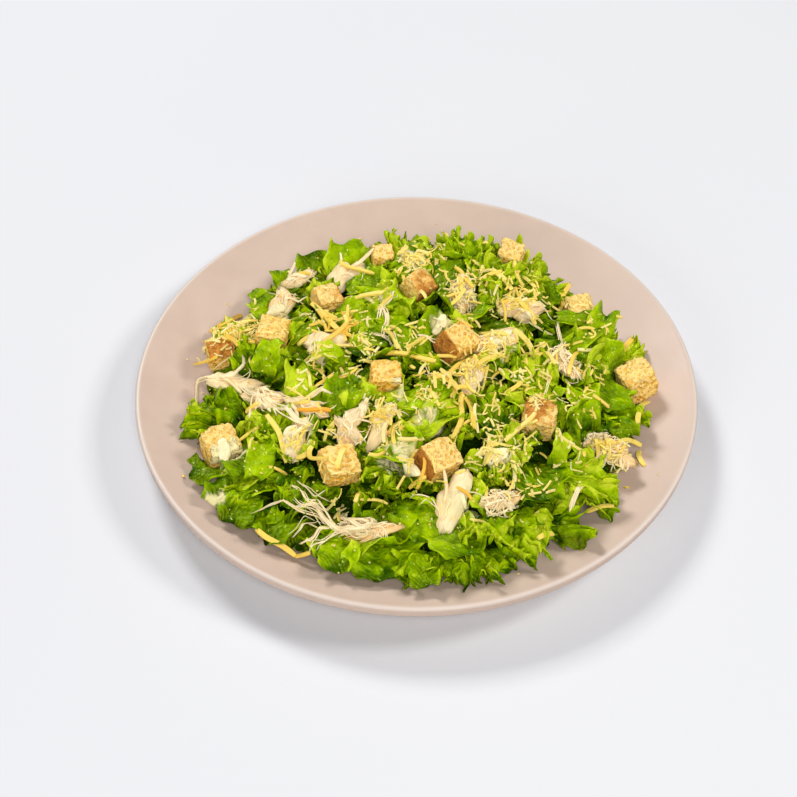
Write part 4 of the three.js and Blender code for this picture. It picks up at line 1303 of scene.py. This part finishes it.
def add_blob(piece, ground, middle, long, wide, turn, thickness, rng):
    """Cream that has run out over what is below it."""
    angles = around(28)
    phases = rng.uniform(0, 2 * math.pi, 3)
    outline = 1 + sum(depth * np.sin(n * angles + p) for (n, depth), p in zip(BLOB_LOBES, phases))
    turn = math.radians(turn)
    shares = np.linspace(0.08, 1, 8)[:, None]
    ahead, beside = shares * outline * long * np.cos(angles), shares * outline * wide * np.sin(angles)
    x = middle[0] + ahead * math.cos(turn) - beside * math.sin(turn)
    y = middle[1] + ahead * math.sin(turn) + beside * math.cos(turn)
    below = np.maximum(ground.height(x, y), middle[2] - 3.5)
    z = below.copy()
    for _ in range(40):
        sideways = (np.roll(z, 1, axis=1) + np.roll(z, -1, axis=1)) / 2
        inward = np.concatenate([z[:1] * 0 + z[:1].mean(), z[:-1]])
        outward = np.concatenate([z[1:], z[-1:]])
        z = np.maximum(below - 0.3, 0.4 * sideways + 0.3 * (inward + outward) - 0.04)
    crown = np.sqrt(1 - np.minimum(shares, 0.995) ** 3) * (1 + 0.08 * np.sin(3 * angles + phases[0]))
    over = z + thickness * crown
    upper = np.stack([x, y, over], axis=-1)
    lower = np.stack([x, y, np.minimum(below - 0.2, over - 0.1)], axis=-1)
    piece.add(*loft(np.concatenate([lower, upper[::-1]])))
    ground.cover(upper.reshape(-1, 3))


def make_dressing(ground, material):
    piece = Piece()
    rng = np.random.default_rng(8)
    for px, py, long, wide, turn, thickness in BLOBS:
        add_blob(piece, ground, ground.seen(px, py), long, wide, turn, thickness, rng)
    finish(piece.make("dressing", material), "greens")


# ---- Camera, light and floor ----


def set_up(data, place, turn):
    """Puts a camera or a light at its place in metres, turned as said."""
    made = bpy.data.objects.new(data.name, data)
    made.location = place
    made.rotation_mode = "QUATERNION"
    made.rotation_quaternion = turn
    bpy.context.scene.collection.objects.link(made)
    return made


def make_camera():
    data = bpy.data.cameras.new("camera")
    data.lens = CAMERA["lens"]
    data.sensor_width = CAMERA["sensor"]
    bpy.context.scene.camera = set_up(data, CAMERA_PLACE * MM, CAMERA_TURN)


# Soft boxes: place in metres, width, watts and colour. Each faces the plate.
LIGHTS = {
    "front": ((0.15, -1.6, 1.85), 0.8, 31.5, (1.0, 1.0, 1.0)),
    "front_left": ((-1.1, -1.9, 1.0), 0.9, 13.0, (1.0, 1.0, 1.0)),
    "back_left": ((-0.85, 1.47, 1.7), 0.6, 32.5, (1.0, 1.0, 1.0)),
    "right": ((1.7, 0.2, 1.7), 0.6, 23.5, (1.0, 0.985, 0.96)),
}
SKY = ((0.96, 0.97, 1.0), 0.04)
FLOOR_REACH = 3000
FLOOR_CORNERS = ((-1, -1), (1, -1), (1, 1), (-1, 1))


def make_lights():
    for name, (place, width, watts, colour) in LIGHTS.items():
        data = bpy.data.lights.new(name, "AREA")
        data.shape = "SQUARE"
        data.size = width
        data.energy = watts
        data.color = colour
        set_up(data, place, Vector(place).to_track_quat("Z", "Y"))
    world = bpy.data.worlds.new("sky")
    world.use_nodes = True
    background = world.node_tree.nodes["Background"]
    background.inputs[0].default_value = (*SKY[0], 1)
    background.inputs[1].default_value = SKY[1]
    bpy.context.scene.world = world


def make_floor():
    look = Look("pale_table", 0.2, 0.7)
    look.feed("Base Color", look.patchy(look.grain(300, 1), (0.725, 0.73, 0.76), (0.74, 0.745, 0.77)))
    piece = Piece()
    piece.add([(x * FLOOR_REACH, y * FLOOR_REACH, 0) for x, y in FLOOR_CORNERS], [[[0, 1, 2, 3]]])
    piece.make("table", look.material)


# ---- Putting it together ----


def make_greens():
    """The core and every leaf. One piece of leaves stands for the whole heap of the solids."""
    material = leaf_material()
    core = make_core(material)
    large = make_leaves()
    make_edge_leaves(large["flat"])
    small = make_small_leaves()
    return [
        core,
        finish(large["curly"][0].make("curly_leaves_1", material), "greens", "salad_heap"),
        finish(large["curly"][1].make("curly_leaves_2", material), "greens"),
        finish(large["flat"][0].make("romaine_leaves_1", material), "greens"),
        finish(large["flat"][1].make("romaine_leaves_2", material), "greens"),
        finish(small["curly"][0].make("small_curly_leaves_1", material), "greens"),
        finish(small["curly"][1].make("small_curly_leaves_2", material), "greens"),
        finish(small["flat"][0].make("small_romaine_leaves", material), "greens"),
    ]


bpy.context.scene.view_settings.view_transform = "Standard"
make_camera()
make_lights()
make_floor()
make_plate()
greens = make_greens()
croutons = make_croutons(crouton_material())
ground = make_chicken(chicken_material(), [*greens, croutons])
make_dressing(ground, dressing_material())
make_cheese(ground, cheese_material())
